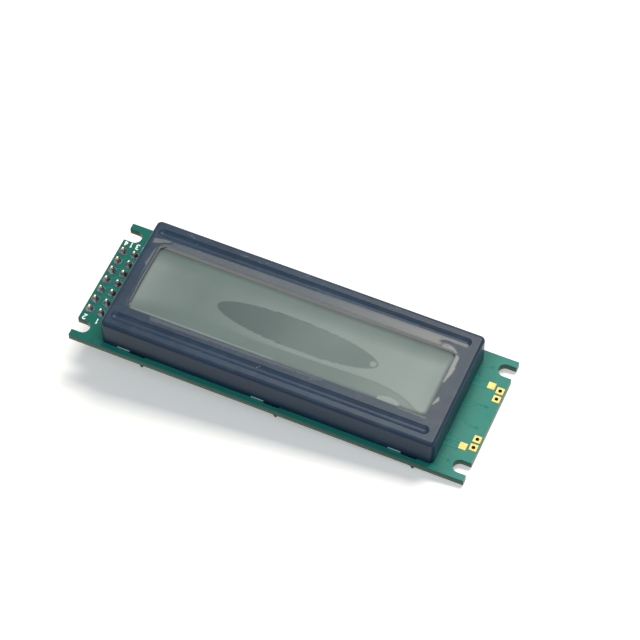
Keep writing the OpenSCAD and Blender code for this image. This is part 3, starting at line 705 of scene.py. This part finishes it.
    def build(self, x, y, z, marks):
        """Meshes the film with a short skirt round its rim, and stores its marks."""
        rows, columns = x.shape
        points = np.stack([x, y, z], -1).reshape(-1, 3)
        index = np.arange(rows * columns).reshape(rows, columns)
        quads = np.stack([index[:-1, :-1], index[:-1, 1:], index[1:, 1:], index[1:, :-1]], -1)
        rim = np.concatenate([index[0, :], index[1:, -1], index[-1, -2::-1], index[-2:0:-1, 0]])
        skirt = points[rim] - (0, 0, SKIRT)
        base = len(points)
        ring = [(base + k, base + (k + 1) % len(rim), int(b), int(a))
                for k, (a, b) in enumerate(zip(rim, np.roll(rim, -1)))]
        piece = make_piece("peel_off_film", np.concatenate([points, skirt]),
                           quads.reshape(-1, 4).tolist() + ring, self.film_finish(),
                           replaces=("protective_film",))
        layer = piece.data.color_attributes.new("film_marks", "FLOAT_COLOR", "POINT")
        values = np.concatenate([marks.reshape(-1, 4), np.tile((0.4, 0.0, 0.0, 0.0), (len(skirt), 1))])
        layer.data.foreach_set("color", values.astype(np.float32).ravel())

    def film_finish(self):
        """Clear film: almost unseen where it touches the display, hazy where it stands off it, whitish on its
        lifted rim; the haze and the rim carry painted reflection and light, the touching patch painted shade.
        """
        material = make_finish("Clear film", (0.53, 0.53, 0.52), (0.50, 0.50, 0.49), blotch=6.0,
                               roughness=0.30, rough_spread=0.02, specular=0.18, bump=0.0, dust=0.0)
        tree, shader = material.node_tree, principled(material)
        marks = put(tree, "Attribute", attribute_name="film_marks")
        # the rim's paleness and the haze where the film stands off, both with painted light and reflection
        milky_and_painted_light, air_haze_and_painted_sheen = put(tree, "SeparateColor", {0: marks.outputs["Color"]}).outputs[:2]
        # dark along the seams, and painted shade on the touching patch
        shade = marks.outputs["Alpha"]
        alpha = times(tree, milky_and_painted_light, 0.30)
        alpha = calc(tree, "ADD", alpha, times(tree, air_haze_and_painted_sheen, 0.40))
        alpha = calc(tree, "ADD", alpha, times(tree, shade, 0.50))
        alpha = calc(tree, "ADD", alpha, 0.01, clamp=True)

        def haze(tree, base):
            """Grey on the rim, pale green where the film stands off the display (its amount painted
            reflection and shade), dark along the seams and as painted shade on the touching patch.
            """
            base = mix_colour(tree, times(tree, air_haze_and_painted_sheen, 4.0, clamp=True), base, rgba((0.49, 0.555, 0.55)))
            return mix_colour(tree, times(tree, shade, 4.0, clamp=True), base, rgba((0.02, 0.03, 0.04)))

        relink_colour(material, haze)
        tree.links.new(alpha, shader.inputs["Alpha"])
        return material


# ---- bezel, display cell and backlight -------------------------------------


class DISPLAY_OT_finish_bezel(bpy.types.Operator):
    """Finishes the stamped steel bezel in satin black, rubbed at its edges"""

    bl_idname = "display.finish_bezel"
    bl_label = "Stamped bezel"

    def execute(self, context):
        c = colours()
        black = make_finish("Satin black steel", c.bezel, tinted(1.3, c.bezel), blotch=9.0,
                            roughness=0.31, rough_spread=0.03, specular=0.21, grain=0.16, bump=0.0022,
                            edge=c.bezel_worn, edge_width=0.16, edge_amount=0.55, dust=0.10, scratches=0.16)
        dress("bezel", black)
        return {"FINISHED"}


class DISPLAY_OT_finish_cell(bpy.types.Operator):
    """Finishes the polarisers, the two glasses and the filling port's plug"""

    bl_idname = "display.finish_cell"
    bl_label = "Display cell"

    def execute(self, context):
        c = colours()
        face = make_finish("Display face", c.cell, tinted(0.86, c.cell), blotch=14.0,
                           roughness=0.42, rough_spread=0.05, specular=0.2, grain=0.6, bump=0.0004, dust=0.04)
        dress("front_polariser", face)
        rear = make_finish("Rear polariser", tinted(1.3, c.cell), tinted(1.1, c.cell),
                           blotch=12.0, roughness=0.35, grain=0.1, bump=0.001, dust=0.0)
        dress("rear_polariser", rear)
        glass = make_finish("Cell glass", (0.86, 0.94, 0.90), (0.80, 0.90, 0.86), blotch=20.0,
                            roughness=0.03, rough_spread=0.01, ior=1.52, grain=3.0, bump=0.0002,
                            dust=0.0, transmission=1.0)
        dress("front_glass", glass)
        dress("rear_glass", glass)
        plug = make_finish("Port resin", (0.62, 0.58, 0.40), (0.52, 0.47, 0.30), blotch=0.8, roughness=0.22,
                           coat=0.4, grain=0.4, bump=0.01, dust=0.0)
        dress("fill_port_plug", plug)
        return {"FINISHED"}


class DISPLAY_OT_finish_backlight(bpy.types.Operator):
    """Finishes the light guide, its sheets, white frame and lamps"""

    bl_idname = "display.finish_backlight"
    bl_label = "Backlight"

    def execute(self, context):
        dress("diffuser_sheet", make_finish(
            "Frosted sheet", (0.86, 0.88, 0.88), (0.80, 0.83, 0.84), blotch=5.0, roughness=0.6,
            grain=0.06, bump=0.002, dust=0.0))
        dress("light_guide", make_finish(
            "Clear acrylic", (0.90, 0.95, 0.94), (0.84, 0.92, 0.90), blotch=9.0, roughness=0.06,
            rough_spread=0.02, ior=1.49, grain=1.2, bump=0.0006, dust=0.0, transmission=1.0))
        dress("reflector_sheet", make_finish(
            "White reflector", (0.90, 0.90, 0.89), (0.84, 0.84, 0.83), blotch=6.0, roughness=0.45,
            grain=0.2, bump=0.001, dust=0.0))
        dress("backlight_frame", make_finish(
            "Moulded white plastic", (0.86, 0.87, 0.85), (0.78, 0.79, 0.77), blotch=7.0, roughness=0.4,
            grain=0.12, bump=0.002, edge=(0.92, 0.92, 0.90), edge_amount=0.3, dust=0.08))
        dress("lamp_strip", make_finish(
            "Lamp strip lacquer", (0.80, 0.82, 0.80), (0.70, 0.73, 0.70), blotch=3.0, roughness=0.35,
            grain=0.15, bump=0.002, dust=0.0))
        dress("leds", make_finish(
            "Lamp resin", (0.86, 0.76, 0.22), (0.80, 0.66, 0.15), blotch=0.8, roughness=0.3, coat=0.5,
            grain=0.1, bump=0.004, dust=0.0))
        dress("lamp_leads", make_finish(
            "Tinned wire", (0.62, 0.62, 0.63), (0.50, 0.50, 0.52), blotch=0.6, roughness=0.28, metallic=1.0,
            grain=0.08, bump=0.004, stretch=(1, 1, 0.1), dust=0.0))
        return {"FINISHED"}


class DISPLAY_OT_finish_contacts(bpy.types.Operator):
    """Finishes the striped rubber strips and the gold pads under them"""

    bl_idname = "display.finish_contacts"
    bl_label = "Contact strips and pads"

    def execute(self, context):
        rubber = make_finish("Striped contact rubber", (0.24, 0.24, 0.26), (0.20, 0.20, 0.22), blotch=2.0,
                             roughness=0.55, grain=0.1, bump=0.003, dust=0.0)

        def stripes(tree, base):
            """Thin carbon layers across the strip."""
            along = part_of(tree, place_mm(tree), "X")
            wave = calc(tree, "SINE", times(tree, along, math.tau / 0.1))
            return mix_colour(tree, spread(tree, wave, -0.3, 0.3), base, (0.02, 0.02, 0.022, 1.0))

        relink_colour(rubber, stripes)
        dress("contact_strip_front", rubber)
        dress("contact_strip_rear", rubber)
        dress("contact_pads", gold_finish("Contact gold"))
        return {"FINISHED"}


def gold_finish(name):
    """Thin gold plate, a little dull."""
    c = colours()
    return make_finish(name, c.gold, tinted(0.86, c.gold), blotch=1.2, roughness=0.48,
                       rough_spread=0.06, metallic=1.0, grain=0.12, bump=0.004, dust=0.10)


def solder_finish(name, level=1.0):
    """Tin solder; a lower level is duller."""
    c = tinted(level, colours().solder)
    return make_finish(name, c, tinted(0.50, c), blotch=0.45, roughness=0.36,
                       rough_spread=0.08, metallic=1.0, grain=0.25, bump=0.014, dust=0.04)


# ---- board ------------------------------------------------------------------


def mask_finish(name, lift=1.0):
    """Green lacquer; lift brightens it where copper lies under it."""
    c = colours()
    return make_finish(name, tinted(lift, c.mask), tinted(0.85 * lift, c.mask), blotch=5.0,
                       roughness=0.33, rough_spread=0.05, specular=0.10, grain=0.35, bump=0.003, dust=0.04)


class DISPLAY_OT_finish_board(bpy.types.Operator):
    """Finishes the board: green lacquer, bare cut edges and plated lands"""

    bl_idname = "display.finish_board"
    bl_label = "Circuit board"

    def execute(self, context):
        c = colours()
        board = mask_finish("Board lacquer")

        def bare_edge(tree, base):
            """Cut glass-fibre layers on every upright face."""
            normal = put(tree, "NewGeometry").outputs["Normal"]
            up = calc(tree, "ABSOLUTE", part_of(tree, normal, "Z"))
            layers = use_group(tree, "Fine grain", Size=0.22, Detail=4.0, Stretch=(0.25, 0.25, 2.4))
            cut = mix_colour(tree, layers, rgba(c.laminate), rgba(tinted(0.8, c.laminate)))
            deep = part_of(tree, place_mm(tree), "Z")
            cut = mix_colour(tree, spread(tree, deep, -1.15, -0.55), cut, (0.028, 0.122, 0.104, 1.0))
            return mix_colour(tree, spread(tree, up, 0.35, 0.65), cut, base)

        def painted_light_and_lighter_end(tree, base):
            """A lighter field over the board's right end, and painted light on the strip along the near edge
            that the bezel's wall shades, streaked along its length.
            """
            spot = put(tree, "SeparateXYZ", {0: place_mm(tree)})
            # lighter towards the board's right end, from 35 mm out
            end = spread(tree, spot.outputs["X"], 35.0, 40.0, 0.0, 0.55)
            # painted light: the strip along the near edge, shaded by the bezel's wall, is lightened along the
            # bezel's length
            painted_margin_light = spread(tree, spot.outputs["Y"], BOARD_LOW.y + 1.4, BOARD_LOW.y + 0.9, 0.0, 0.9)
            within = calc(tree, "ABSOLUTE", spot.outputs["X"])
            painted_margin_light = times(tree, painted_margin_light, spread(tree, within, 37.5, 34.5))
            streaks = use_group(tree, "Fine grain", Size=0.16, Detail=2.0, Stretch=(0.02, 1.0, 1.0))
            painted_margin_light = times(tree, painted_margin_light, calc(tree, "ADD", streaks, 0.6))
            lighter_end_and_painted_light = calc(tree, "MAXIMUM", end, painted_margin_light, clamp=True)
            return mix_colour(tree, lighter_end_and_painted_light, base, rgba([2.0 * v + 0.012 for v in c.mask]))

        relink_colour(board, painted_light_and_lighter_end)
        relink_colour(board, bare_edge)
        dress("circuit_board", board)
        dress("wire_lands", gold_finish("Land gold"))
        dress("header_lands", solder_finish("Tinned header lands", 0.35))
        dress("rear_lands", solder_finish("Tinned lands"))
        return {"FINISHED"}


def evenly(middle, count, step):
    """A row of places a step apart, centred on middle."""
    return [middle + (i - (count - 1) / 2) * step for i in range(count)]


# Half the pin pitch, the column of the wire holes, how far a front track
# runs on under the bezel, and where the fans' longest bends lie.
HALF_PITCH = 1.27
WIRE_X = 41.5
UNDER_BEZEL = 1.5
PAD_PITCH, PADS_EACH = 1.5, 22
FAN_OUTER, FAN_STEP, FAN_MOST = 9.05, 0.235, 11.5


class DISPLAY_OT_add_tracks(bpy.types.Operator):
    """Raises the copper tracks and vias under the lacquer on both faces"""

    bl_idname = "display.add_tracks"
    bl_label = "Tracks and vias"

    def execute(self, context):
        s = context.scene.display_board
        front, back = Heap(), Heap()
        self.front_tracks(front, s)
        self.back_tracks(back, s)
        lacquer = mask_finish("Lacquer over copper", 1.5)
        make_piece("front_tracks", front.points, front.faces, lacquer, smooth=False)
        make_piece("rear_tracks", back.points, back.faces, lacquer, smooth=False)
        return {"FINISHED"}

    def via(self, heap, x, y, s, seat, side):
        """A lacquered via: a low ring with a dimple."""
        r = s.via_d / 2
        h = side * s.track_h
        profile = [(r, seat), (r * 0.84, seat + h), (r * 0.42, seat + h), (r * 0.25, seat + 0.3 * h),
                   (0.02, seat + 0.25 * h)]
        heap.lathe(x, y, profile, count=14, side=side)

    def front_tracks(self, heap, s):
        """Leads that run under the bezel from the pins and from the terminals."""
        seat = BOARD_HIGH.z
        pins = clusters("header_pins", low_z=0.5)
        columns = sorted({round(p[0], 2) for p in pins})
        under = BEZEL_LOW.x + UNDER_BEZEL
        for x, y in pins:
            if abs(x - columns[-1]) < 0.1:
                heap.ribbon([(x, y), (under, y)], 0.3, seat, s.track_h)
            elif y < 7:
                mid = y + HALF_PITCH
                heap.ribbon([(x, y), (x + 0.62, y + 0.62), (x + HALF_PITCH, mid), (under, mid)],
                            0.25, seat, s.track_h)
        inner = BEZEL_HIGH.x - UNDER_BEZEL
        for x, y in clusters("wire_lands", reach=1.1):
            if x < 40.5:
                heap.ribbon([(x, y), (inner, y)], 0.7, seat, s.track_h)
        for side in (-1, 1):
            heap.ribbon([(40.2, side * 2.6), (38.4, side * 2.6), (37.2, side * 1.4), (inner, side * 1.4)],
                        0.35, seat, s.track_h)
            self.via(heap, 40.4, side * 2.6, s, seat, 1)
            self.via(heap, 38.2, side * 11.6, s, seat, 1)
            heap.ribbon([(38.2, side * 11.6), (inner, side * 10.4)], 0.3, seat, s.track_h)

    def back_tracks(self, heap, s):
        """The tracks between the resin caps, the contact pads, the header and the terminals."""
        seat = BOARD_LOW.z

        def track(*path, width=s.track_w):
            heap.ribbon(path, width, seat, s.track_h, side=-1)

        driver, controller = box_mm("driver_cap"), box_mm("controller_cap")
        lands = clusters("rear_lands", reach=0.8)
        pads = evenly(0.0, 2 * PADS_EACH, PAD_PITCH)
        for (low, high), ends in ((driver, pads[:PADS_EACH]), (controller, pads[PADS_EACH:])):
            cx, cy, r = (low.x + high.x) / 2, (low.y + high.y) / 2, (high.x - low.x) / 2
            for start, end in zip(evenly(cx, PADS_EACH, 0.5), ends):
                rim = math.sqrt(max(r * r - (start - cx) ** 2, 0.0)) - 0.25
                level = FAN_OUTER - FAN_STEP * min(abs(end - cx) / PAD_PITCH, FAN_MOST)
                for side in (-1, 1):
                    # a chip part or its lands may stand in the way
                    if any(py * side > 5.5 and abs(px - end) < 1.15 for px, py in lands):
                        continue
                    path = [(start, cy + side * rim), (end, side * s.via_y)]
                    if abs(start - end) >= 0.05:
                        cut = min(0.35, abs(end - start) / 3)
                        way = 1 if end > start else -1
                        path[1:1] = [(start, side * (level - cut)), (start + way * cut, side * level),
                                     (end - way * cut, side * level), (end, side * (level + cut))]
                    track(*path)
                    self.via(heap, end, side * s.via_y, s, seat, -1)
        # from under the header body to the driver
        from_x, bend_x = HEADER_HIGH.x - 0.3, HEADER_HIGH.x + 1.6
        for m in range(-6, 7):
            y, t = HALF_PITCH * m, 0.5 * m
            track((from_x, y), (bend_x, y), (bend_x + abs(y - t), t), (driver[0].x + 0.5 + 0.04 * t * t, t),
                  width=0.26)
        # between the two caps
        for m in range(-5, 6):
            track((driver[1].x - 0.5, 0.62 * m), (controller[0].x + 0.5, 0.62 * m))
        # from the controller to its resistors and on to the terminals
        edge = controller[1].x
        for k, y in enumerate((-5.0, -2.5, 0.0, 2.5, 5.0)):
            away = 24.6 + 0.6 * k
            track((edge - 1.2, 0.55 * y), (edge - 0.1, 0.55 * y), (edge + 0.45 * abs(y) - 0.1, y), (20.9, y))
            track((22.9, y), (away, y), (away, -7.2))
            self.via(heap, away, -7.2 - 0.75 * (k % 2), s, seat, -1)
        for side in (-1, 1):
            track((WIRE_X, side * 5), (36.5, side * 5), (33.0, side * 1.5), (29.5, side * 1.5), width=0.9)
            track((WIRE_X, side * 7), (36.0, side * 7), (34.0, side * 9.0), width=0.9)
            self.via(heap, 29.5, side * 1.5, s, seat, -1)


# Pen strokes of the pin numbers, in a box one unit high.
STROKES = {
    "1": [[(0.14, 0.80), (0.32, 1.0), (0.32, 0.0)]],
    "2": [[(0.04, 0.78), (0.12, 0.94), (0.30, 1.0), (0.48, 0.94), (0.56, 0.76), (0.50, 0.56), (0.04, 0.0),
           (0.58, 0.0)]],
    "3": [[(0.05, 0.88), (0.18, 0.98), (0.34, 1.0), (0.50, 0.92), (0.54, 0.76), (0.46, 0.58), (0.26, 0.52)],
          [(0.26, 0.52), (0.48, 0.44), (0.58, 0.26), (0.50, 0.08), (0.30, 0.0), (0.14, 0.02), (0.03, 0.12)]],
    "4": [[(0.44, 0.0), (0.44, 1.0)], [(0.46, 0.98), (0.06, 0.34)], [(0.0, 0.32), (0.62, 0.32)]],
}


class DISPLAY_OT_add_pin_numbers(bpy.types.Operator):
    """Prints the plain pin numbers beside the corners of the header"""

    bl_idname = "display.add_pin_numbers"
    bl_label = "Pin numbers"

    def execute(self, context):
        s = context.scene.display_board
        heap = Heap()
        seat = BOARD_HIGH.z + 0.004
        # each digit and the middle of its box
        spots = [("4", -41.62, 9.72), ("1", -40.46, 9.76), ("3", -39.05, 9.76), ("1", -37.85, 9.76),
                 ("2", -41.44, -9.71), ("1", -38.65, -9.68)]
        for digit, x, y in spots:
            for n, stroke in enumerate(STROKES[digit]):
                path = [(x - (u - 0.31) * s.digit_h, y - (v - 0.5) * s.digit_h) for u, v in stroke]
                heap.ribbon(path, s.digit_line, seat, 0.018 + 0.003 * n)
        ink = make_finish("White board ink", colours().ink, tinted(0.8, colours().ink), blotch=0.5,
                          roughness=0.55, grain=0.12, bump=0.01, dust=0.1)
        make_piece("pin_numbers", heap.points, heap.faces, ink, smooth=False)
        return {"FINISHED"}


# ---- header, terminals and back ---------------------------------------------


class DISPLAY_OT_add_header_solder(bpy.types.Operator):
    """Solders each header pin by hand: an uneven cone with a dull flux ring"""

    bl_idname = "display.add_header_solder"
    bl_label = "Header and its solder"

    def execute(self, context):
        s = context.scene.display_board
        dress("header_body", make_finish(
            "Black moulded plastic", (0.014, 0.014, 0.015), (0.022, 0.022, 0.023), blotch=3.0, roughness=0.42,
            grain=0.1, bump=0.004, edge=(0.06, 0.06, 0.06), edge_amount=0.4, dust=0.1))
        dress("header_pins", make_finish(
            "Tinned pin gold", (0.76, 0.59, 0.44), (0.68, 0.52, 0.38), blotch=0.8, roughness=0.34,
            rough_spread=0.06, metallic=1.0, grain=0.12, bump=0.004, dust=0.05))
        heap = Heap()
        seed = context.scene.display_stage.seed
        for n, (x, y) in enumerate(clusters("header_pins", low_z=0.5)):
            dice = np.random.default_rng(seed + n)
            height = (PIN_TIP - BOARD_HIGH.z) * dice.uniform(0.82, 0.94)
            lean = dice.uniform(0, math.tau)
            waves = [(k, dice.uniform(-1, 1), dice.uniform(0, math.tau)) for k in (2, 3, 5, 8)]
            foot, neck = 0.84 * dice.uniform(0.95, 1.05), 0.27

            def wobble(radius, angle, t):
                """The cone's radius and rise at an angle, t of the way up."""
                lump = sum(a * math.sin(k * angle + p) / k for k, a, p in waves)
                tilt = math.cos(angle - lean)
                wider = 1 + s.solder_lumps * lump * (1 - t) * 2.2 + 0.10 * (1 - t) * tilt
                return radius * wider, 0.05 * height * tilt * t

            seat = BOARD_HIGH.z + 0.02
            profile = [(neck + (foot - neck) * (1 - t) ** 1.9, seat + height * t)
                       for t in (j / 11 for j in range(12))]
            profile.append((neck * 0.5, seat + height * 1.03))
            heap.lathe(x, y, profile, count=24, wobble=wobble)
        make_piece("hand_solder", heap.points, heap.faces, solder_finish("Hand solder"),
                   replaces=("header_solder",))
        dress("lamp_lead_solder", solder_finish("Lead solder"))
        return {"FINISHED"}


class DISPLAY_OT_finish_chips(bpy.types.Operator):
    """Finishes the resin caps, chips, resistors and capacitors on the back"""

    bl_idname = "display.finish_chips"
    bl_label = "Chips on the back"

    def execute(self, context):
        resin = make_finish("Poured black resin", (0.010, 0.010, 0.011), (0.018, 0.017, 0.017), blotch=2.4,
                            roughness=0.2, rough_spread=0.08, coat=0.35, coat_roughness=0.08, specular=0.5,
                            grain=1.6, bump=0.02, dust=0.2)
        dress("controller_cap", resin)
        dress("driver_cap", resin)
        chip = make_finish("Bare silicon", (0.16, 0.17, 0.20), (0.22, 0.20, 0.24), blotch=0.7, roughness=0.18,
                           metallic=0.6, grain=0.1, bump=0.001, dust=0.0)
        dress("controller_chip", chip)
        dress("driver_chip", chip)
        dress("chip_resistors", make_finish(
            "Resistor enamel", (0.012, 0.012, 0.014), (0.020, 0.020, 0.022), blotch=0.6, roughness=0.3,
            grain=0.1, bump=0.003, edge=(0.70, 0.70, 0.68), edge_width=0.08, edge_amount=0.8, dust=0.1))
        dress("chip_capacitors", make_finish(
            "Capacitor ceramic", (0.44, 0.27, 0.14), (0.36, 0.21, 0.11), blotch=0.5, roughness=0.42,
            grain=0.08, bump=0.004, edge=(0.56, 0.38, 0.22), edge_amount=0.4, dust=0.1))
        ends = make_finish("Tinned ends", (0.60, 0.60, 0.61), (0.46, 0.46, 0.48), blotch=0.4, roughness=0.32,
                           metallic=1.0, grain=0.1, bump=0.008, dust=0.1)
        dress("chip_ends", ends)
        dress("chip_solder", solder_finish("Chip solder"))
        return {"FINISHED"}


# Half the width of the bezel's flat face, and the straight runs in a fibre.
FACE_HALF = 13.0
FIBRE_STEPS = 9


class DISPLAY_OT_add_dust(bpy.types.Operator):
    """Scatters a few loose specks and fibres on the front"""

    bl_idname = "display.add_dust"
    bl_label = "Specks and fibres"

    def execute(self, context):
        s = context.scene.display_stage
        dice = np.random.default_rng(s.seed)
        heap = Heap()
        skin = BVHTree.FromObject(NODES["bezel"], context.evaluated_depsgraph_get())
        # a speck's place and size: first the chosen ones, then the scattered ones
        chosen = [(-2.8, -10.5, 0.17), (-2.4, -10.2, 0.12), (7.9, -9.1, 0.13), (8.6, -9.0, 0.1),
                  (26.4, -4.1, 0.08), (-22.5, 0.5, 0.10), (-8.6, -8.9, 0.09), (-1.0, -9.0, 0.07),
                  (4.1, -9.0, 0.08), (-11.2, 12.4, 0.09), (-3.5, 11.8, 0.07), (11.0, 12.2, 0.06)]
        for _ in range(s.specks):
            chosen.append((dice.uniform(-35, 35), dice.choice([-1, 1]) * dice.uniform(8.6, 13.0),
                           dice.uniform(0.03, 0.075)))
        for x, y, size in chosen:
            seat = self.seat(skin, x, y)
            turns = np.sort(dice.uniform(0, math.tau, 7))
            rim = [(x + size * dice.uniform(0.6, 1.1) * math.cos(a),
                    y + size * dice.uniform(0.6, 1.1) * math.sin(a), seat) for a in turns]
            heap.add(rim + [(x, y, seat + size * 0.7)], [(i, (i + 1) % 7, 7) for i in range(7)])
        dust = make_finish("Loose dust", DUST, (0.40, 0.39, 0.36), blotch=0.4, roughness=0.85,
                           grain=0.05, bump=0.004, dust=0.0)
        make_piece("dust_specks", heap.points, heap.faces, dust)
        fibres = Heap()
        for _ in range(5):
            x, y = dice.uniform(-30, 33), dice.uniform(12.1, 12.9)
            turn = dice.uniform(-0.5, 0.5)
            length, bend = dice.uniform(0.8, 2.2), dice.uniform(-1.2, 1.2)
            path = []
            for k in range(FIBRE_STEPS + 1):
                angle = turn + bend * (k / FIBRE_STEPS - 0.5)
                path.append((x, min(y, FACE_HALF)))
                x += length / FIBRE_STEPS * math.cos(angle)
                y += length / FIBRE_STEPS * math.sin(angle)
            fibres.ribbon(path, 0.045, BEZEL_HIGH.z + 0.004, 0.03)
        lint = make_finish("Pale lint", (0.34, 0.35, 0.35), (0.24, 0.25, 0.26), blotch=0.5, roughness=0.8,
                           grain=0.06, bump=0.003, dust=0.0)
        make_piece("lint_fibres", fibres.points, fibres.faces, lint)
        return {"FINISHED"}

    def seat(self, skin, x, y):
        """Height of the bezel or film under a speck."""
        hit = skin.ray_cast(Vector((x, y, 20.0)) * MM, Vector((0, 0, -1)))[0]
        height = hit.z / MM if hit else BEZEL_HIGH.z
        if FILM_LOW.x < x < FILM_HIGH.x and FILM_LOW.y < y < FILM_HIGH.y:
            height = max(height, FILM_HIGH.z - (0.35 if abs(y) < 7.5 else 0.0))
        return height


# ---- stage ------------------------------------------------------------------


def area_lamp(name, place, aim, size, radiance, colour):
    """A soft lamp of a stated brightness, unseen by the camera."""
    data = bpy.data.lights.new(name, "AREA")
    data.shape = "RECTANGLE"
    data.size, data.size_y = size[0] * MM, size[1] * MM
    data.energy = radiance * math.pi * data.size * data.size_y
    data.color = colour
    lamp = bpy.data.objects.new(name, data)
    lamp.location = Vector(place) * MM
    way = (Vector(aim) - Vector(place)).normalized()
    lamp.rotation_euler = way.to_track_quat("-Z", "Y").to_euler()
    lamp.visible_camera = False
    bpy.context.scene.collection.objects.link(lamp)
    return lamp


class DISPLAY_OT_set_stage(bpy.types.Operator):
    """Sets the pale table, the room light, the lamps and the camera"""

    bl_idname = "display.set_stage"
    bl_label = "Table, lamps and camera"

    def execute(self, context):
        s = context.scene.display_stage
        self.table(s)
        self.world(s)
        for n, left in enumerate((-55, -105, -155)):
            area_lamp("Overhead panel %d" % (n + 1), ((left + 250) / 2, 335, 620), ((left + 250) / 2, 335, 0),
                      (250 - left, 290), s.panel / 3, (1.0, 0.97, 0.86))
        area_lamp("Warm lamp", (-149, 408, 471), (1, -5, 6), (110, 40), s.strip, (1.0, 0.93, 0.80))
        area_lamp("Front fill", (70, -300, 560), (0, 0, 0), (520, 320), s.fill, (0.86, 0.94, 1.0))
        self.camera(context)
        context.scene.view_settings.view_transform = "Standard"
        return {"FINISHED"}

    def table(self, s):
        """A table that the pins' tips and the far tabs rest on."""
        pins = np.array([v.co for v in NODES["header_pins"].data.vertices]) / MM
        foot = pins[pins[:, 2] < pins[:, 2].min() + 0.05]
        pin_x, pin_z = foot[:, 0].max(), foot[:, 2].min()
        slope = 1e9
        for item in NODES.values():
            points = np.array([v.co for v in item.data.vertices]) / MM
            points = points[points[:, 0] > pin_x + 5]
            if len(points):
                slope = min(slope, ((points[:, 2] - pin_z) / (points[:, 0] - pin_x)).min())
        reach = 4000.0
        mesh = bpy.data.meshes.new("table")
        work = bmesh.new()
        work.faces.new([
            work.verts.new(Vector((x, y, pin_z - 0.02 + slope * (x - pin_x))) * MM)
            for x, y in ((-reach, -reach), (reach, -reach), (reach, reach), (-reach, reach))])
        work.to_mesh(mesh)
        work.free()
        table = bpy.data.objects.new("table", mesh)
        bpy.context.scene.collection.objects.link(table)
        mesh.materials.append(self.table_finish(s))

    def table_finish(self, s):
        """A pale table, a little brighter where it is seen, and clear from below."""
        material = bpy.data.materials.new("Pale table")
        tree = empty_tree(material)
        tint = use_group(tree, "Fine grain", Size=60.0, Detail=2.0)
        colour = mix_colour(tree, tint, rgba([s.table] * 3), rgba([s.table * 0.985] * 3))
        cloth = put(tree, "BsdfDiffuse", {"Color": colour})
        glow = put(tree, "Emission", {"Color": (1, 1, 1, 1), "Strength": 0.3})
        dark = put(tree, "Emission", {"Strength": 0.0})
        lit = put(tree, "MixShader", {0: seen_first(tree), 1: dark.outputs[0], 2: glow.outputs[0]})
        both = put(tree, "AddShader", {0: cloth.outputs[0], 1: lit.outputs[0]})
        clear = put(tree, "BsdfTransparent")
        behind = put(tree, "NewGeometry").outputs["Backfacing"]
        final = put(tree, "MixShader", {0: behind, 1: both.outputs[0], 2: clear.outputs[0]})
        put(tree, "OutputMaterial", {0: final.outputs[0]})
        return material

    def world(self, s):
        """An even room light, and plain white where the room is seen."""
        world = bpy.data.worlds.new("Room")
        bpy.context.scene.world = world
        tree = empty_tree(world)
        room = put(tree, "Background", {"Color": (0.92, 0.97, 1.0, 1.0), "Strength": s.sky})
        white = put(tree, "Background", {"Color": (1, 1, 1, 1), "Strength": 1.0})
        mixed = put(tree, "MixShader", {0: seen_first(tree), 1: room.outputs[0], 2: white.outputs[0]})
        put(tree, "OutputWorld", {0: mixed.outputs[0]})

    def camera(self, context):
        """A long lens that looks down on the near long side."""
        data = bpy.data.cameras.new("Camera")
        data.sensor_width = 36.0
        data.lens = 150.1009
        data.clip_start, data.clip_end = 0.01, 20.0
        camera = bpy.data.objects.new("Camera", data)
        right, up = Vector((0.91491, 0.40351, -0.01046)), Vector((-0.33184, 0.76666, 0.54965))
        back = Vector((0.22981, -0.49941, 0.83533))
        place = Vector((124.954, -258.397, 446.048)) * MM
        camera.matrix_world = Matrix((
            (right.x, up.x, back.x, place.x), (right.y, up.y, back.y, place.y),
            (right.z, up.z, back.z, place.z), (0, 0, 0, 1)))
        context.scene.collection.objects.link(camera)
        context.scene.camera = camera


# ---- panel and registration ---------------------------------------------------

OPERATORS = (
    DISPLAY_OT_finish_bezel, DISPLAY_OT_add_film, DISPLAY_OT_finish_cell, DISPLAY_OT_finish_backlight,
    DISPLAY_OT_finish_contacts, DISPLAY_OT_finish_board, DISPLAY_OT_add_tracks,
    DISPLAY_OT_add_pin_numbers, DISPLAY_OT_add_header_solder, DISPLAY_OT_finish_chips,
    DISPLAY_OT_add_dust, DISPLAY_OT_set_stage,
)
SETTINGS = (
    ("display_colours", DisplayColours), ("display_film", FilmSettings),
    ("display_board", BoardSettings), ("display_stage", StageSettings),
)


class DISPLAY_PT_module(bpy.types.Panel):
    """Lists the module's pieces, with their settings"""

    bl_idname = "DISPLAY_PT_module"
    bl_label = "Display module"
    bl_space_type = "VIEW_3D"
    bl_region_type = "UI"
    bl_category = "Display module"

    def draw(self, context):
        """Draws a button for each piece, then the settings."""
        for operator in OPERATORS:
            self.layout.operator(operator.bl_idname)
        for name, group in SETTINGS:
            block = self.layout.box()
            for key in group.__annotations__:
                block.prop(getattr(context.scene, name), key)


def register():
    """Adds the settings, the operators and the panel."""
    for name, group in SETTINGS:
        bpy.utils.register_class(group)
        setattr(bpy.types.Scene, name, bpy.props.PointerProperty(type=group))
    for operator in OPERATORS:
        bpy.utils.register_class(operator)
    bpy.utils.register_class(DISPLAY_PT_module)


def unregister():
    """Takes away what register added, last first."""
    bpy.utils.unregister_class(DISPLAY_PT_module)
    for operator in reversed(OPERATORS):
        bpy.utils.unregister_class(operator)
    for name, group in reversed(SETTINGS):
        delattr(bpy.types.Scene, name)
        bpy.utils.unregister_class(group)


def main():
    """Builds the whole module."""
    register()
    build_grain_group()
    build_wear_group()
    build_dust_group()
    build_scratch_group()
    for operator in OPERATORS:
        family, name = operator.bl_idname.split(".")
        getattr(getattr(bpy.ops, family), name)()


if __name__ == "__main__":
    main()
